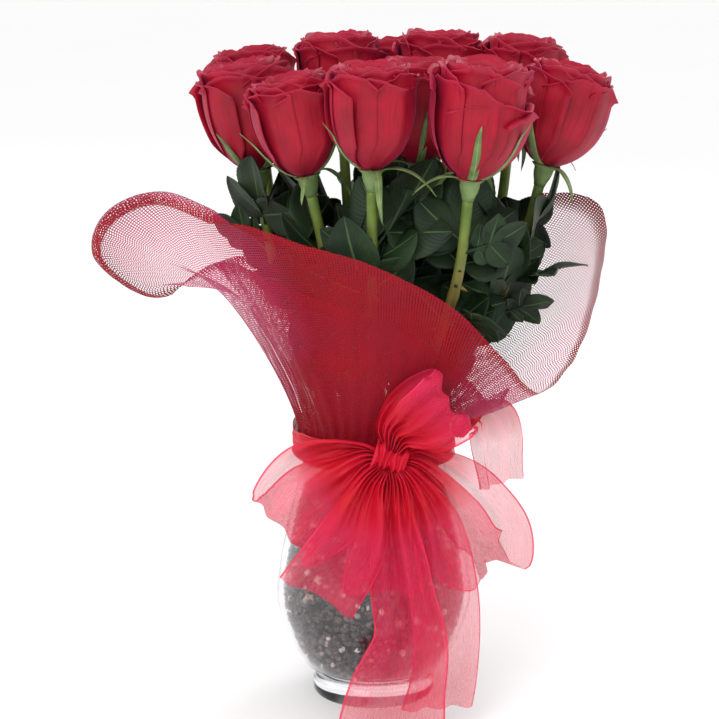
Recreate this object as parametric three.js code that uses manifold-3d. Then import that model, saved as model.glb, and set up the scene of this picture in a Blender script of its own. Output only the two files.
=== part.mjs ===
// Twelve red roses in a clear glass vase filled with gravel, with a mesh wrap flaring from the
// vase's neck and a wide sheer ribbon tied round it in a bow.
//
// Units are millimetres, +Z is up, and the origin is the centre of the flat underside of the
// vase's foot. The bouquet's front, where the bow is, faces -Y.

import * as THREE from "three";
import { mergeVertices } from "three/addons/utils/BufferGeometryUtils.js";
import Module from "manifold-3d";

const wasm = await Module();
wasm.setup();

// ---------------------------------------------------------------- driving dimensions

const gap = 0.3; // between pieces that touch

// Vase
const vaseHeight = 180;
const vaseWall = 3;
const footRadius = 38.5;
const footHeight = 9;
const bellyRadius = 61.3;
const bellyHeight = 72;
const neckRadius = 43;
const lipFlare = 4.5;
const floorThickness = 7; // of the bowl's glass over the foot
const gravelFill = 0.76; // of the vase's height

// Roses
const stemRadius = 3.3;
const bloomWidth = 49;
const bloomHeight = 62;
const bloomClearance = 4; // least distance between two blooms
const hipHeight = 11; // of the green hip under a bloom
const riseAboveLip = 160; // from the vase's lip to the bottom of a usual bloom

// Leaves
const leafletLength = 34;
const leafletWidth = 25;
const leafThickness = 1.2;

// Mesh wrap and ribbon
const wrapThickness = 1.2;
const tieBelowLip = 13; // from the vase's lip down to the middle of the ribbon's band
const ribbonWidth = 66;
const ribbonThickness = 1;
const bandHeight = 15;
const bandThickness = 1.6;
const knotRadius = 11;

// ---------------------------------------------------------------- worked out from those

const tieHeight = vaseHeight - tieBelowLip;
const bloomPitch = bloomWidth + bloomClearance; // unit of the roses' places
const sepalReach = 0.45 * bloomPitch; // neighbouring calyxes' points stay apart
const wrapRadius = neckRadius + lipFlare + gap; // the gathered mesh clears the lip that it hides
const bandRadius = wrapRadius + wrapThickness + gap;
const bandFront = bandRadius + bandThickness;
const up = new THREE.Vector3(0, 0, 1);

// ---------------------------------------------------------------- materials

const paint = (color, roughness, extra = {}) =>
  new THREE.MeshStandardMaterial({ color, roughness, metalness: 0, ...extra });
const finishes = {
  glass: paint(0xdfe6ea, 0.05, { transparent: true, opacity: 0.35 }),
  gravel: paint(0x4a4345, 0.8),
  stem: paint(0x5d7a2c, 0.6),
  sepal: paint(0x7c9a5c, 0.65),
  petal: paint(0xb0122f, 0.7),
  leaf: paint(0x24402a, 0.55),
  mesh: paint(0xd8345c, 0.6, { transparent: true, opacity: 0.5 }),
  ribbon: paint(0xe01f3d, 0.35, { transparent: true, opacity: 0.6 }),
};

const bouquet = new THREE.Group();

/** Adds one named piece to the bouquet and returns its mesh. */
function piece(name, geometry, material) {
  const mesh = new THREE.Mesh(geometry, material);
  mesh.name = name;
  bouquet.add(mesh);
  return mesh;
}

// ---------------------------------------------------------------- shapes

/** A solid turned about +Z from [radius, height] points, listed from the bottom up the outside. */
function turned(profile, segments) {
  const points = profile.map(([r, z]) => new THREE.Vector2(r, z));
  return new THREE.LatheGeometry(points, segments).rotateX(Math.PI / 2);
}

/** The closed geometry as a manifold-3d solid, so that it can be joined or cut. */
function solidOf(geometry) {
  const bare = new THREE.BufferGeometry();
  const loose = geometry.index ? geometry.toNonIndexed() : geometry;
  bare.setAttribute("position", loose.getAttribute("position").clone());
  const merged = mergeVertices(bare, 1e-3);
  return new wasm.Manifold(
    new wasm.Mesh({
      numProp: 3,
      vertProperties: merged.attributes.position.array,
      triVerts: new Uint32Array(merged.index.array),
    }),
  );
}

/** A manifold-3d solid as a three.js geometry again. */
function geometryOf(solid) {
  const mesh = solid.getMesh();
  const places = new Float32Array(mesh.vertProperties);
  return new THREE.BufferGeometry()
    .setAttribute("position", new THREE.BufferAttribute(places, 3))
    .setIndex(new THREE.BufferAttribute(new Uint32Array(mesh.triVerts), 1));
}

/** A round tube of the given radius along a curve. */
function tube(curve, radius, sides, steps) {
  const corners = Array.from({ length: sides }, (_, i) =>
    new THREE.Vector2(radius, 0).rotateAround(new THREE.Vector2(), (i * 2 * Math.PI) / sides),
  );
  const section = new THREE.Shape(corners);
  return new THREE.ExtrudeGeometry(section, {
    steps,
    bevelEnabled: false,
    extrudePath: curve,
  });
}

/** Turns a geometry made about +Z so that its +Z runs along axis, and moves its origin to a place. */
function stand(geometry, place, axis) {
  const turn = new THREE.Quaternion().setFromUnitVectors(up, axis.clone().normalize());
  return geometry.applyQuaternion(turn).translate(place.x, place.y, place.z);
}

// ---------------------------------------------------------------- vase and gravel

/** The vase's radius outside at a height, from a smooth curve through its foot, belly and neck. */
const waist = footRadius - 2.5;
const waistHeight = footHeight + 3;
const vaseOutside = new THREE.SplineCurve([
  new THREE.Vector2(waist, waistHeight),
  new THREE.Vector2(waist + 0.62 * (bellyRadius - waist), waistHeight + 0.26 * bellyHeight),
  new THREE.Vector2(bellyRadius - 1, 0.78 * bellyHeight),
  new THREE.Vector2(bellyRadius, bellyHeight),
  new THREE.Vector2(
    neckRadius + 0.62 * (bellyRadius - neckRadius),
    bellyHeight + 0.42 * (tieHeight - bellyHeight),
  ),
  new THREE.Vector2(neckRadius + 1.2, tieHeight - 0.17 * (tieHeight - bellyHeight)),
  new THREE.Vector2(neckRadius, tieHeight),
  new THREE.Vector2(neckRadius + lipFlare - 1, vaseHeight - 1.5),
]);
const outsidePoints = vaseOutside.getPoints(12).map((p) => [p.x, p.y]);

/** The same outline moved in by the wall, from the bowl's floor upwards. */
const insidePoints = [...outsidePoints]
  .map(([r, z]) => [r - vaseWall, z])
  .filter(([, z]) => z > footHeight + floorThickness + 3);

const vaseProfile = [
  [0, 0],
  [footRadius - 1.5, 0],
  [footRadius, 1.5],
  [footRadius, footHeight - 1.5],
  [footRadius - 1.5, footHeight],
  ...outsidePoints,
  [neckRadius + lipFlare - 1.5, vaseHeight],
  [neckRadius + lipFlare - vaseWall, vaseHeight],
  ...insidePoints.toReversed().slice(1),
  [0.72 * insidePoints[0][0], footHeight + floorThickness],
  [0, footHeight + floorThickness],
];
piece("vase", turned(vaseProfile, 32), finishes.glass);

/** The vase's inner radius at a height, on the straight line between two outline points. */
function innerRadius(z) {
  const i = insidePoints.findIndex(([, h]) => h >= z);
  const [[r0, z0], [r1, z1]] = [insidePoints[Math.max(i - 1, 0)], insidePoints[Math.max(i, 1)]];
  return r0 + ((r1 - r0) * (z - z0)) / (z1 - z0);
}

// ---------------------------------------------------------------- roses

// Each rose: across and deep are its bloom's middle, in bloom pitches from the vase's axis; lift is
// how far its bottom is above the usual one, lean its tilt from upright in degrees, towards the
// heading in degrees from +X; size is its share of the usual bloom.
const roses = [
  { across: -0.86, deep: -0.85, lift: -3, lean: 12, heading: 180, size: 0.97 },
  { across: -0.04, deep: -1.42, lift: 5, lean: 2, heading: 260, size: 0.98 },
  { across: 1.08, deep: -1.52, lift: 0, lean: 7, heading: 330, size: 1.1 },
  { across: 2.04, deep: -0.57, lift: 1, lean: 15, heading: 0, size: 1 },
  { across: -1.43, deep: 0.1, lift: -7, lean: 9, heading: 175, size: 1.08 },
  { across: 0.49, deep: -0.47, lift: 2, lean: 2, heading: 300, size: 1 },
  { across: -0.4, deep: 0.72, lift: 12, lean: 4, heading: 150, size: 1 },
  { across: 0.74, deep: 0.6, lift: 14, lean: 3, heading: 60, size: 1 },
  { across: 1.66, deep: 0.5, lift: 12, lean: 8, heading: 10, size: 0.98 },
  { across: -1.42, deep: 1.2, lift: 3, lean: 11, heading: 145, size: 0.97 },
  { across: 0.12, deep: 1.62, lift: 4, lean: 9, heading: 95, size: 1 },
  { across: 1.2, deep: 1.54, lift: 2, lean: 10, heading: 60, size: 1 },
];

const farthest = Math.max(...roses.map((r) => Math.hypot(r.across, r.deep))) * bloomPitch;
const neckShare = (0.9 * (neckRadius - vaseWall - stemRadius - gap)) / farthest;
const footShare = 0.62 * neckShare;
const stemFoot = footHeight + floorThickness + 6;

/** The unit vector that a rose's bloom points along. */
function axisOf({ lean, heading }) {
  const tilt = THREE.MathUtils.degToRad(lean);
  const way = THREE.MathUtils.degToRad(heading);
  return new THREE.Vector3(
    Math.sin(tilt) * Math.cos(way),
    Math.sin(tilt) * Math.sin(way),
    Math.cos(tilt),
  );
}

/** The bloom: a crowned cup, with its bottom at the origin. */
function bloomGeometry(size) {
  const w = (size * bloomWidth) / 2;
  const h = size * bloomHeight;
  const cup = [
    [0, 0],
    [0.42 * w, 0.03 * h],
    [0.82 * w, 0.16 * h],
    [w, 0.42 * h],
    [0.97 * w, 0.72 * h],
    [0.82 * w, 0.93 * h],
    [0.4 * w, h],
    [0, 0.98 * h],
  ];
  return turned(cup, 10);
}

/** The hip and its five sepals, as a star with drooping points; the hip's top is at the origin. */
function calyxGeometry() {
  const profile = [
    [0, -hipHeight],
    [stemRadius, -hipHeight],
    [2 * stemRadius, -0.5 * hipHeight],
    [2.1 * stemRadius, -2.6],
    [sepalReach, -5.4],
    [sepalReach, -4.4],
    [2.1 * stemRadius, 0],
    [0, 0],
  ];
  const star = turned(profile, 10);
  const places = star.getAttribute("position");
  for (let i = 0; i < places.count; i += 1) {
    const column = Math.floor(i / profile.length);
    const [radius, height] = profile[i % profile.length];
    if (column % 2 === 1 && radius === sepalReach) {
      const notch = (2.3 * stemRadius) / radius;
      places.setXYZ(i, places.getX(i) * notch, places.getY(i) * notch, height + 2.6);
    }
  }
  return star;
}

const stems = roses.map((rose, i) => {
  const name = String(i + 1).padStart(2, "0");
  const axis = axisOf(rose);
  const middle = new THREE.Vector3(rose.across, rose.deep, 0).multiplyScalar(bloomPitch);
  const bottom = middle.clone().addScaledVector(axis, (-rose.size * bloomHeight) / 2);
  bottom.z = vaseHeight + riseAboveLip + rose.lift;

  const hipTop = bottom.clone().addScaledVector(axis, -gap);
  const stemTop = hipTop.clone().addScaledVector(axis, -hipHeight - gap);
  const bend = stemTop.clone().addScaledVector(axis, -45);
  const route = new THREE.CatmullRomCurve3([
    new THREE.Vector3(footShare * middle.x, footShare * middle.y, stemFoot),
    new THREE.Vector3(neckShare * middle.x, neckShare * middle.y, tieHeight),
    new THREE.Vector3().lerpVectors(
      new THREE.Vector3(neckShare * middle.x, neckShare * middle.y, tieHeight),
      bend,
      0.55,
    ),
    bend,
    stemTop,
  ]);
  piece(`stem_${name}`, tube(route, stemRadius, 6, 12), finishes.stem);
  piece(`calyx_${name}`, stand(calyxGeometry(), hipTop, axis), finishes.sepal);
  piece(`bloom_${name}`, stand(bloomGeometry(rose.size), bottom, axis), finishes.petal);
  return route;
});

/** The point of a stem's centre line at a height. */
function onStem(number, height) {
  const points = stems[number - 1].getSpacedPoints(200);
  return points.reduce((a, b) => (Math.abs(b.z - height) < Math.abs(a.z - height) ? b : a));
}

// ---------------------------------------------------------------- gravel

const gravelTop = gravelFill * vaseHeight;
const gravelSide = insidePoints.filter(([, z]) => z < gravelTop - 4);
const gravelProfile = [
  [0, footHeight + floorThickness + gap],
  [0.72 * insidePoints[0][0] - gap, footHeight + floorThickness + gap],
  ...gravelSide.map(([r, z]) => [r - 2 * gap, z]),
  [innerRadius(gravelTop) - 2 * gap, gravelTop],
  [0, gravelTop],
];
const stemSleeves = stems.map((route) => solidOf(tube(route, stemRadius + gap, 6, 12)));
const gravelBed = stemSleeves.reduce(
  (bed, sleeve) => bed.subtract(sleeve),
  solidOf(turned(gravelProfile, 24)),
);
piece("gravel", geometryOf(gravelBed), finishes.gravel);

// ---------------------------------------------------------------- leaves

/** Half the width of a leaflet at a share of its length: round at the base, pointed at the tip. */
const leafletHalf = (t) => 1.28 * Math.sin(Math.PI * t ** 0.85) * (1 - 0.35 * t) * 0.5;

/** The flat shape of one leaflet with its base at a point of the stalk, turned by degrees. */
function leaflet(length, width, degrees, base) {
  const stations = [0.12, 0.35, 0.62, 0.85];
  const left = stations.map((t) => [t * length, width * leafletHalf(t)]);
  const right = left.map(([x, y]) => [x, -y]);
  const outline = [[0, 0], ...right, [length, 0], ...left.toReversed()];
  return new wasm.CrossSection([outline]).rotate(degrees).translate(base);
}

/** A flat leaf of three leaflets on one stalk, along +X from the origin, its upper side up. */
function leafGeometry(scale) {
  const long = leafletLength * scale;
  const wide = leafletWidth * scale;
  const fork = 0.68 * wide; // where the side leaflets leave the stalk, far enough out to clear the stem
  const joint = fork + 0.12 * long; // where the tip leaflet starts
  const reach = joint + 0.3 * long;
  const stalk = new wasm.CrossSection([
    [
      [0, -0.9],
      [reach, -0.9],
      [reach, 0.9],
      [0, 0.9],
    ],
  ]);
  const plate = stalk
    .add(leaflet(0.86 * long, 0.86 * wide, -64, [fork, 0]))
    .add(leaflet(0.86 * long, 0.86 * wide, 64, [fork, 0]))
    .add(leaflet(long, wide, 0, [joint, 0]));
  return geometryOf(plate.extrude(leafThickness)).translate(0, 0, -leafThickness / 2);
}

// Each leaf: the stem that it grows from, how high above the vase's lip as a share of the blooms'
// rise, the direction that it points in, how far it is rolled about that direction in degrees, and
// its share of the usual leaf. The directions suit stems that lean as they do at this pitch.
const leafPitch = 53;
const leaves = [
  { stem: 5, above: 0.62, way: [-0.8, 0.2, 0.56], roll: 66, size: 0.75 },
  { stem: 1, above: 0.56, way: [-0.9, 0.15, 0.15], roll: 75, size: 0.8 },
  { stem: 2, above: 0.42, way: [-0.9, 0.06, 0.3], roll: 84, size: 0.75 },
  { stem: 2, above: 0.65, way: [-0.68, 0.1, 0.7], roll: 70, size: 0.8 },
  { stem: 6, above: 0.62, way: [-0.8, -0.1, 0.6], roll: 80, size: 0.7 },
  { stem: 3, above: 0.66, way: [0.8, 0.1, 0.55], roll: -70, size: 0.8 },
  { stem: 9, above: 0.66, way: [0.7, -0.3, 0.66], roll: -66, size: 0.85 },
  { stem: 4, above: 0.57, way: [0.95, -0.05, 0.3], roll: -4, size: 0.8 },
  { stem: 4, above: 0.41, way: [0.88, -0.3, 0.45], roll: -50, size: 0.75 },
  { stem: 3, above: 0.49, way: [0.62, -0.5, -0.05], roll: -35, size: 0.75 },
  { stem: 11, above: 0.53, way: [-0.3, 0.4, 0.85], roll: 20, size: 0.8 },
];

leaves.forEach(({ stem, above, way, roll, size }, i) => {
  const along = new THREE.Vector3(...way).normalize();
  const level = new THREE.Vector3().crossVectors(up, along).normalize();
  const face = new THREE.Vector3().crossVectors(along, level);
  const frame = new THREE.Matrix4().makeBasis(along, level, face);
  const turn = new THREE.Matrix4().makeRotationX(THREE.MathUtils.degToRad(roll));
  const outwards = new THREE.Vector3(along.x, along.y, 0).normalize();
  const standOff = 1.45 * stemRadius * (bloomPitch / leafPitch); // stems that spread further lean further
  const root = onStem(stem, vaseHeight + above * riseAboveLip).addScaledVector(outwards, standOff);
  const geometry = leafGeometry(size).applyMatrix4(turn).applyMatrix4(frame);
  geometry.translate(root.x, root.y, root.z);
  piece(`leaf_${String(i + 1).padStart(2, "0")}`, geometry, finishes.leaf);
});

// ---------------------------------------------------------------- mesh wrap

// The wrap's free edge and the ring halfway to it, counter-clockwise from +X seen from above, as
// points from the centre of the tie: across and deep in bloom pitches, and high in shares of the
// blooms' rise above the lip. The left side reaches out in a drooping lobe, the right back
// corner stands up as a fan, and the front edge slopes down to the right.
const wrapEdge = [
  [2.66, 0.04, 0.66],
  [2.62, 0.45, 0.89],
  [2.04, 0.94, 0.91],
  [1.13, 1.51, 0.74],
  [0, 1.74, 0.62],
  [-1.06, 1.51, 0.65],
  [-1.81, 1.17, 0.62],
  [-2.38, 0.87, 0.57],
  [-2.94, 0.49, 0.6],
  [-3.25, 0.08, 0.76],
  [-2.98, -0.34, 0.94],
  [-2.3, -0.6, 1.02],
  [-1.55, -1.02, 0.95],
  [-0.83, -1.43, 0.85],
  [0.04, -1.74, 0.78],
  [0.83, -1.77, 0.64],
  [1.36, -1.51, 0.45],
  [1.81, -0.98, 0.28],
  [2.3, -0.45, 0.38],
];
const wrapMiddle = [
  [1.74, 0, 0.39],
  [1.62, 0.38, 0.45],
  [1.32, 0.68, 0.44],
  [0.79, 1.02, 0.39],
  [0, 1.21, 0.35],
  [-0.64, 1.09, 0.38],
  [-1.09, 0.87, 0.42],
  [-1.47, 0.64, 0.5],
  [-1.7, 0.34, 0.57],
  [-1.74, 0.04, 0.59],
  [-1.62, -0.3, 0.57],
  [-1.36, -0.6, 0.53],
  [-0.98, -0.94, 0.46],
  [-0.49, -1.17, 0.4],
  [0.04, -1.28, 0.35],
  [0.57, -1.28, 0.29],
  [0.94, -1.13, 0.23],
  [1.25, -0.83, 0.16],
  [1.55, -0.42, 0.25],
];
const ringOf = (points) =>
  new THREE.CatmullRomCurve3(
    points.map(
      ([x, y, z]) =>
        new THREE.Vector3(x * bloomPitch, y * bloomPitch, tieHeight + z * riseAboveLip),
    ),
    true,
  );
const edgeRing = ringOf(wrapEdge);
const middleRing = ringOf(wrapMiddle);

/** A point of the wrap, from a share round it and a share of the way up from its lower hem. */
function wrapPoint(round, rise) {
  const angle = round * 2 * Math.PI;
  const skirt = bandHeight / 2 + 3;
  const waistLine = (z, r) =>
    new THREE.Vector3(r * Math.cos(angle), r * Math.sin(angle), tieHeight + z);
  const rows = [
    waistLine(-skirt, wrapRadius),
    waistLine(skirt + 4, wrapRadius),
    middleRing.getPoint(round),
    edgeRing.getPoint(round),
  ];
  return new THREE.CatmullRomCurve3(rows).getPoint(rise);
}

const wrapRows = 6;
const wrapSegments = 40;
const inward = Array.from({ length: wrapRows + 1 }, (_, i) => [1, i / wrapRows]);
const wall = [...inward.map(([, rise]) => [2, rise]), ...inward.toReversed(), [2, 0]];
const wrapGeometry = turned(wall, wrapSegments);
const wrapPlaces = wrapGeometry.getAttribute("position");
const step = 0.01;
for (let i = 0; i < wrapPlaces.count; i += 1) {
  const round = (Math.floor(i / wall.length) / wrapSegments + 0.75) % 1;
  const [side, rise] = wall[i % wall.length];
  const here = wrapPoint(round, rise);
  const besides = wrapPoint((round + step) % 1, rise).sub(wrapPoint((round + 1 - step) % 1, rise));
  const above = wrapPoint(round, Math.min(rise + step, 1)).sub(
    wrapPoint(round, Math.max(rise - step, 0)),
  );
  const outward = besides.cross(above).normalize();
  if (side === 2) here.addScaledVector(outward, wrapThickness);
  wrapPlaces.setXYZ(i, here.x, here.y, here.z);
}
piece("mesh_wrap", wrapGeometry, finishes.mesh);

// ---------------------------------------------------------------- ribbon

const band = [
  [bandRadius, -bandHeight / 2],
  [bandFront, -bandHeight / 2],
  [bandFront, bandHeight / 2],
  [bandRadius, bandHeight / 2],
  [bandRadius, -bandHeight / 2],
];
piece("ribbon_band", turned(band, 40).translate(0, 0, tieHeight), finishes.ribbon);

const knotPlace = new THREE.Vector3(
  0.2 * neckRadius,
  -bandFront - 0.7 * knotRadius - 2 * gap,
  tieHeight + 3,
);
piece(
  "bow_knot",
  new THREE.SphereGeometry(knotRadius, 10, 8)
    .scale(1, 0.7, 1.15)
    .translate(knotPlace.x, knotPlace.y, knotPlace.z),
  finishes.ribbon,
);

/**
 * A length of ribbon: a strip bent along a curve through points given from a place on the tie, and
 * as wide along it as widths says. across is the direction of its width.
 */
function ribbonGeometry(from, points, across, widths, steps) {
  const route = new THREE.CatmullRomCurve3(
    points.map(([x, y, z]) => new THREE.Vector3(x, y, z).add(from)),
  );
  const strip = new THREE.BoxGeometry(1, 1, 1, 1, 1, steps);
  const places = strip.getAttribute("position");
  const width = new THREE.SplineCurve(widths.map((w, i) => new THREE.Vector2(i, w)));
  for (let i = 0; i < places.count; i += 1) {
    const share = places.getZ(i) + 0.5;
    const along = route.getTangentAt(share);
    const side = new THREE.Vector3(...across);
    side.addScaledVector(along, -side.dot(along)).normalize();
    const face = new THREE.Vector3().crossVectors(along, side);
    const spot = route
      .getPointAt(share)
      .addScaledVector(side, places.getX(i) * width.getPoint(share).y)
      .addScaledVector(face, places.getY(i) * ribbonThickness);
    places.setXYZ(i, spot.x, spot.y, spot.z);
  }
  return strip;
}

const gathered = 10; // the ribbon's width where the knot squeezes it
const full = ribbonWidth;
const edge = knotRadius + 3; // where the loops and tails leave the knot
const drop = knotPlace.z - ribbonThickness / 2 - gap; // down to a ribbon lying on the table
const hang = Math.max(bellyRadius + 3 + knotPlace.y, 5); // to hang clear of belly and loops
const wrapFront = Math.max(...wrapMiddle.map(([, deep]) => -deep)) * bloomPitch;
const flare = Math.max(wrapFront + knotPlace.y, 0); // out from the knot to clear the wrap

const lengths = {
  bow_loop_left: {
    points: [
      [-edge, 3, 0],
      [-34, 5, -10],
      [-56, 9, -28],
      [-72, 9, -44],
      [-76, 2, -49],
      [-66, -5, -43],
      [-48, -6, -30],
      [-28, -5, -14],
      [-edge, -3, -2],
    ],
    across: [0.64, 0, -0.77],
    widths: [gathered, 0.55 * full, 0.66 * full, 0.55 * full, gathered],
    steps: 14,
  },
  bow_loop_right: {
    points: [
      [edge + 2, 4, 0],
      [36, 9, -14],
      [60, 18, -38],
      [77, 26, -62],
      [76, 24, -76],
      [58, 13, -68],
      [36, 3, -40],
      [edge + 2, -1, -7],
    ],
    across: [0.7, 0, 0.7],
    widths: [gathered, 0.4 * full, 0.58 * full, 0.4 * full, gathered],
    steps: 14,
  },
  bow_loop_upper: {
    points: [
      [2, 0, edge + 4],
      [12, -flare - 1, edge + 14],
      [26, -flare - 11, edge + 24],
      [36, -flare - 18, edge + 28],
      [30, -flare - 22, edge + 22],
      [16, -flare - 13, edge + 10],
      [6, -flare, edge + 3],
    ],
    across: [-0.7, 0, 0.7],
    widths: [gathered, 0.36 * full, 0.44 * full, 0.36 * full, 0.8 * gathered],
    steps: 12,
  },
  bow_loop_side: {
    from: new THREE.Vector3(bandFront + 1, 0, tieHeight),
    points: [
      [0, 0, 1],
      [11, -4, 17],
      [21, -8, 15],
      [26, -10, -5],
      [28, -10, -27],
    ],
    across: [0.2, 1, 0.3],
    widths: [gathered, 0.4 * full, 0.34 * full],
    steps: 8,
  },
  tail_long_front: {
    points: [
      [3, -6, -edge],
      [4, -hang - 6, -0.24 * drop],
      [8, -hang - 6, -0.47 * drop],
      [13, -hang - 7, -0.66 * drop],
      [5, -hang - 10, -0.86 * drop],
      [1, -hang - 21, -0.98 * drop],
      [0, -hang - 35, -drop],
      [-1, -hang - 57, -drop],
    ],
    across: [1, 0, 0],
    widths: [gathered, 0.34 * full, 0.44 * full, 0.76 * full, 1.04 * full],
    steps: 16,
  },
  tail_long_side: {
    points: [
      [edge, -6, -edge],
      [25, -hang + 1, -0.24 * drop],
      [33, -hang, -0.47 * drop],
      [36, -hang + 1, -0.66 * drop],
      [33, -hang, -0.83 * drop],
      [28, -hang - 1, -0.95 * drop],
    ],
    across: [1, 0.2, 0],
    widths: [0.8 * gathered, 0.36 * full, 0.42 * full, 0.38 * full, 0.36 * full],
    steps: 12,
  },
  tail_short_front: {
    points: [
      [-knotRadius, -9, 1 - edge],
      [-22, -hang - 11, -46],
      [-44, -hang - 9, -84],
    ],
    across: [0.76, 0, -0.65],
    widths: [gathered, 0.5 * full, 0.66 * full],
    steps: 6,
  },
  tail_short_back: {
    points: [
      [-2, -1, -edge],
      [-3, -hang + 1, -48],
      [-4, -hang, -84],
    ],
    across: [1, 0, 0],
    widths: [0.8 * gathered, 0.45 * full, 0.55 * full],
    steps: 6,
  },
};
for (const [name, { from = knotPlace, points, across, widths, steps }] of Object.entries(lengths)) {
  piece(name, ribbonGeometry(from, points, across, widths, steps), finishes.ribbon);
}

export default bouquet;
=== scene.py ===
# %% [markdown]
# # Twelve roses in a glass vase
#
# This lesson dresses a bouquet in Blender: twelve red roses stand in a clear vase full of gravel,
# a woven mesh flares round them, and a wide sheer ribbon is tied in a bow at the vase's neck.
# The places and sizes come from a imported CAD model, so each piece is built where its CAD node is.
# A piece is made in metres, +Z is up, and the bow is on the -Y side.

# %% Load the frame
import math
import random

import bmesh
import bpy
import numpy as np
from mathutils import Matrix, Vector, noise


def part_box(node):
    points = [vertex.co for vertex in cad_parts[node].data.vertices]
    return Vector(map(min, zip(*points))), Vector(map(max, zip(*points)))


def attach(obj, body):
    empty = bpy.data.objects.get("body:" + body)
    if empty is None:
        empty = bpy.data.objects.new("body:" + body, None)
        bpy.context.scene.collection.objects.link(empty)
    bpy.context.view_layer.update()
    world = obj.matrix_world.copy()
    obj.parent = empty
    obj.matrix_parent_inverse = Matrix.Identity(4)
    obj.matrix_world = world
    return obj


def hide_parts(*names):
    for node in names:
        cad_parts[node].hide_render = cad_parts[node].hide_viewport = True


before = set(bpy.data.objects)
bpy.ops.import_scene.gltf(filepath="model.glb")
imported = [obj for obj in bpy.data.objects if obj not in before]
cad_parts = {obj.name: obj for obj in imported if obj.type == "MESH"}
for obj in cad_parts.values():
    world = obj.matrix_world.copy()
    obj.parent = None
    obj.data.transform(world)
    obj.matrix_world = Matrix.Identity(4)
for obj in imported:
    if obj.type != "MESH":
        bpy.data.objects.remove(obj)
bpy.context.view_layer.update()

# %% [markdown]
# ## Camera and light
#
# The camera looks slightly down on the bouquet from the front with a long lens, so that the
# upright vase and the blooms keep their proportions. It comes first, because it never changes.

# %% Camera
camera = bpy.data.objects.new("camera", bpy.data.cameras.new("camera"))
camera.location = (-0.009, -1.2, 0.51)
camera.rotation_euler = (math.radians(90 - 13.75), 0, 0)
camera.data.sensor_width = 36
camera.data.lens = 100.04
bpy.context.scene.collection.objects.link(camera)
bpy.context.scene.camera = camera

# %% [markdown]
# Soft light wraps round petals and shines through cloth, so a bright white world does most of the
# work. One large soft lamp above the camera's left shoulder gives the folds a lit and a shaded side.
# The plain colour transform keeps saturated reds red. Light passes through many layers of sheer
# cloth here, so the number of transparent bounces is raised, or deep folds would turn black.

# %% World, lamps and floor
scene = bpy.context.scene
scene.view_settings.view_transform = "Standard"
scene.cycles.transparent_max_bounces = 40
scene.cycles.max_bounces = 14

world = bpy.data.worlds.new("studio")
world.use_nodes = True
world.node_tree.nodes["Background"].inputs["Color"].default_value = (1, 1, 1, 1)
world.node_tree.nodes["Background"].inputs["Strength"].default_value = 1.0
scene.world = world


def add_softbox(name, place, target, size, power):
    """A square lamp at a place, turned towards a target."""
    lamp = bpy.data.objects.new(name, bpy.data.lights.new(name, "AREA"))
    lamp.data.size = size
    lamp.data.energy = power
    lamp.location = place
    direction = Vector(target) - Vector(place)
    lamp.rotation_euler = direction.to_track_quat("-Z", "Y").to_euler()
    scene.collection.objects.link(lamp)


add_softbox("key", (-0.6, -1.2, 1.5), (0, 0, 0.25), 0.9, 12)
add_softbox("back", (0.9, 1.1, 1.2), (0, 0, 0.3), 0.8, 7)

# %% [markdown]
# ## Helpers
#
# Materials are built from nodes. `add_node` places one node and fills its inputs, either with a
# value or with a link from another node's output, which keeps each material short to read.

# %% Node helpers
def colour(red, green, blue):
    """A display colour of 0 to 255 as the linear colour that shaders work with."""
    parts = [c / 255 for c in (red, green, blue)]
    return tuple(c / 12.92 if c < 0.04045 else ((c + 0.055) / 1.055) ** 2.4 for c in parts) + (1,)


def add_node(tree, kind, inputs=None, **settings):
    """Adds a node; inputs holds values or other nodes' outputs, by name or number."""
    made = tree.nodes.new(kind)
    for name, value in settings.items():
        setattr(made, name, value)
    for name, value in (inputs or {}).items():
        if isinstance(value, bpy.types.NodeSocket):
            tree.links.new(value, made.inputs[name])
        else:
            made.inputs[name].default_value = value
    return made


def maths(tree, operation, first, second=0.0, clamp=False):
    """One step of arithmetic on values of the surface."""
    made = add_node(tree, "ShaderNodeMath", {0: first, 1: second}, operation=operation)
    made.use_clamp = clamp
    return made.outputs[0]


def mix_colours(tree, share, first, second):
    """A blend of two colours; share 0 gives the first and 1 the second."""
    made = add_node(tree, "ShaderNodeMix", data_type="RGBA")
    sockets = {"Factor": share, "A": first, "B": second}
    for name, value in sockets.items():
        fits = [s for s in made.inputs if s.name == name and (s.type == "RGBA") == (name != "Factor")]
        socket = fits[0]
        if isinstance(value, bpy.types.NodeSocket):
            tree.links.new(value, socket)
        else:
            socket.default_value = value
    return [s for s in made.outputs if s.type == "RGBA"][0]


def new_material(name):
    """An empty material with its Principled shader and output."""
    material = bpy.data.materials.new(name)
    material.use_nodes = True
    tree = material.node_tree
    return material, tree, tree.nodes["Principled BSDF"]


def new_group(name, inputs, outputs):
    """A node group with named inputs and outputs, given as {name: socket type}."""
    tree = bpy.data.node_groups.new(name, "ShaderNodeTree")
    for label, kind in inputs.items():
        tree.interface.new_socket(label, in_out="INPUT", socket_type=kind)
    for label, kind in outputs.items():
        tree.interface.new_socket(label, in_out="OUTPUT", socket_type=kind)
    return tree, tree.nodes.new("NodeGroupInput"), tree.nodes.new("NodeGroupOutput")


FLOAT, VECTOR, COLOUR = "NodeSocketFloat", "NodeSocketVector", "NodeSocketColor"

# %% [markdown]
# Three effects are shared by several finishes, so each is a node group that is built once. Mottle
# varies between two colours in soft patches, as petals, leaves and stones do. Veins draws a midrib
# and side veins along a strip's own UV map. Weave draws crossing threads, for the mesh.

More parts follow.
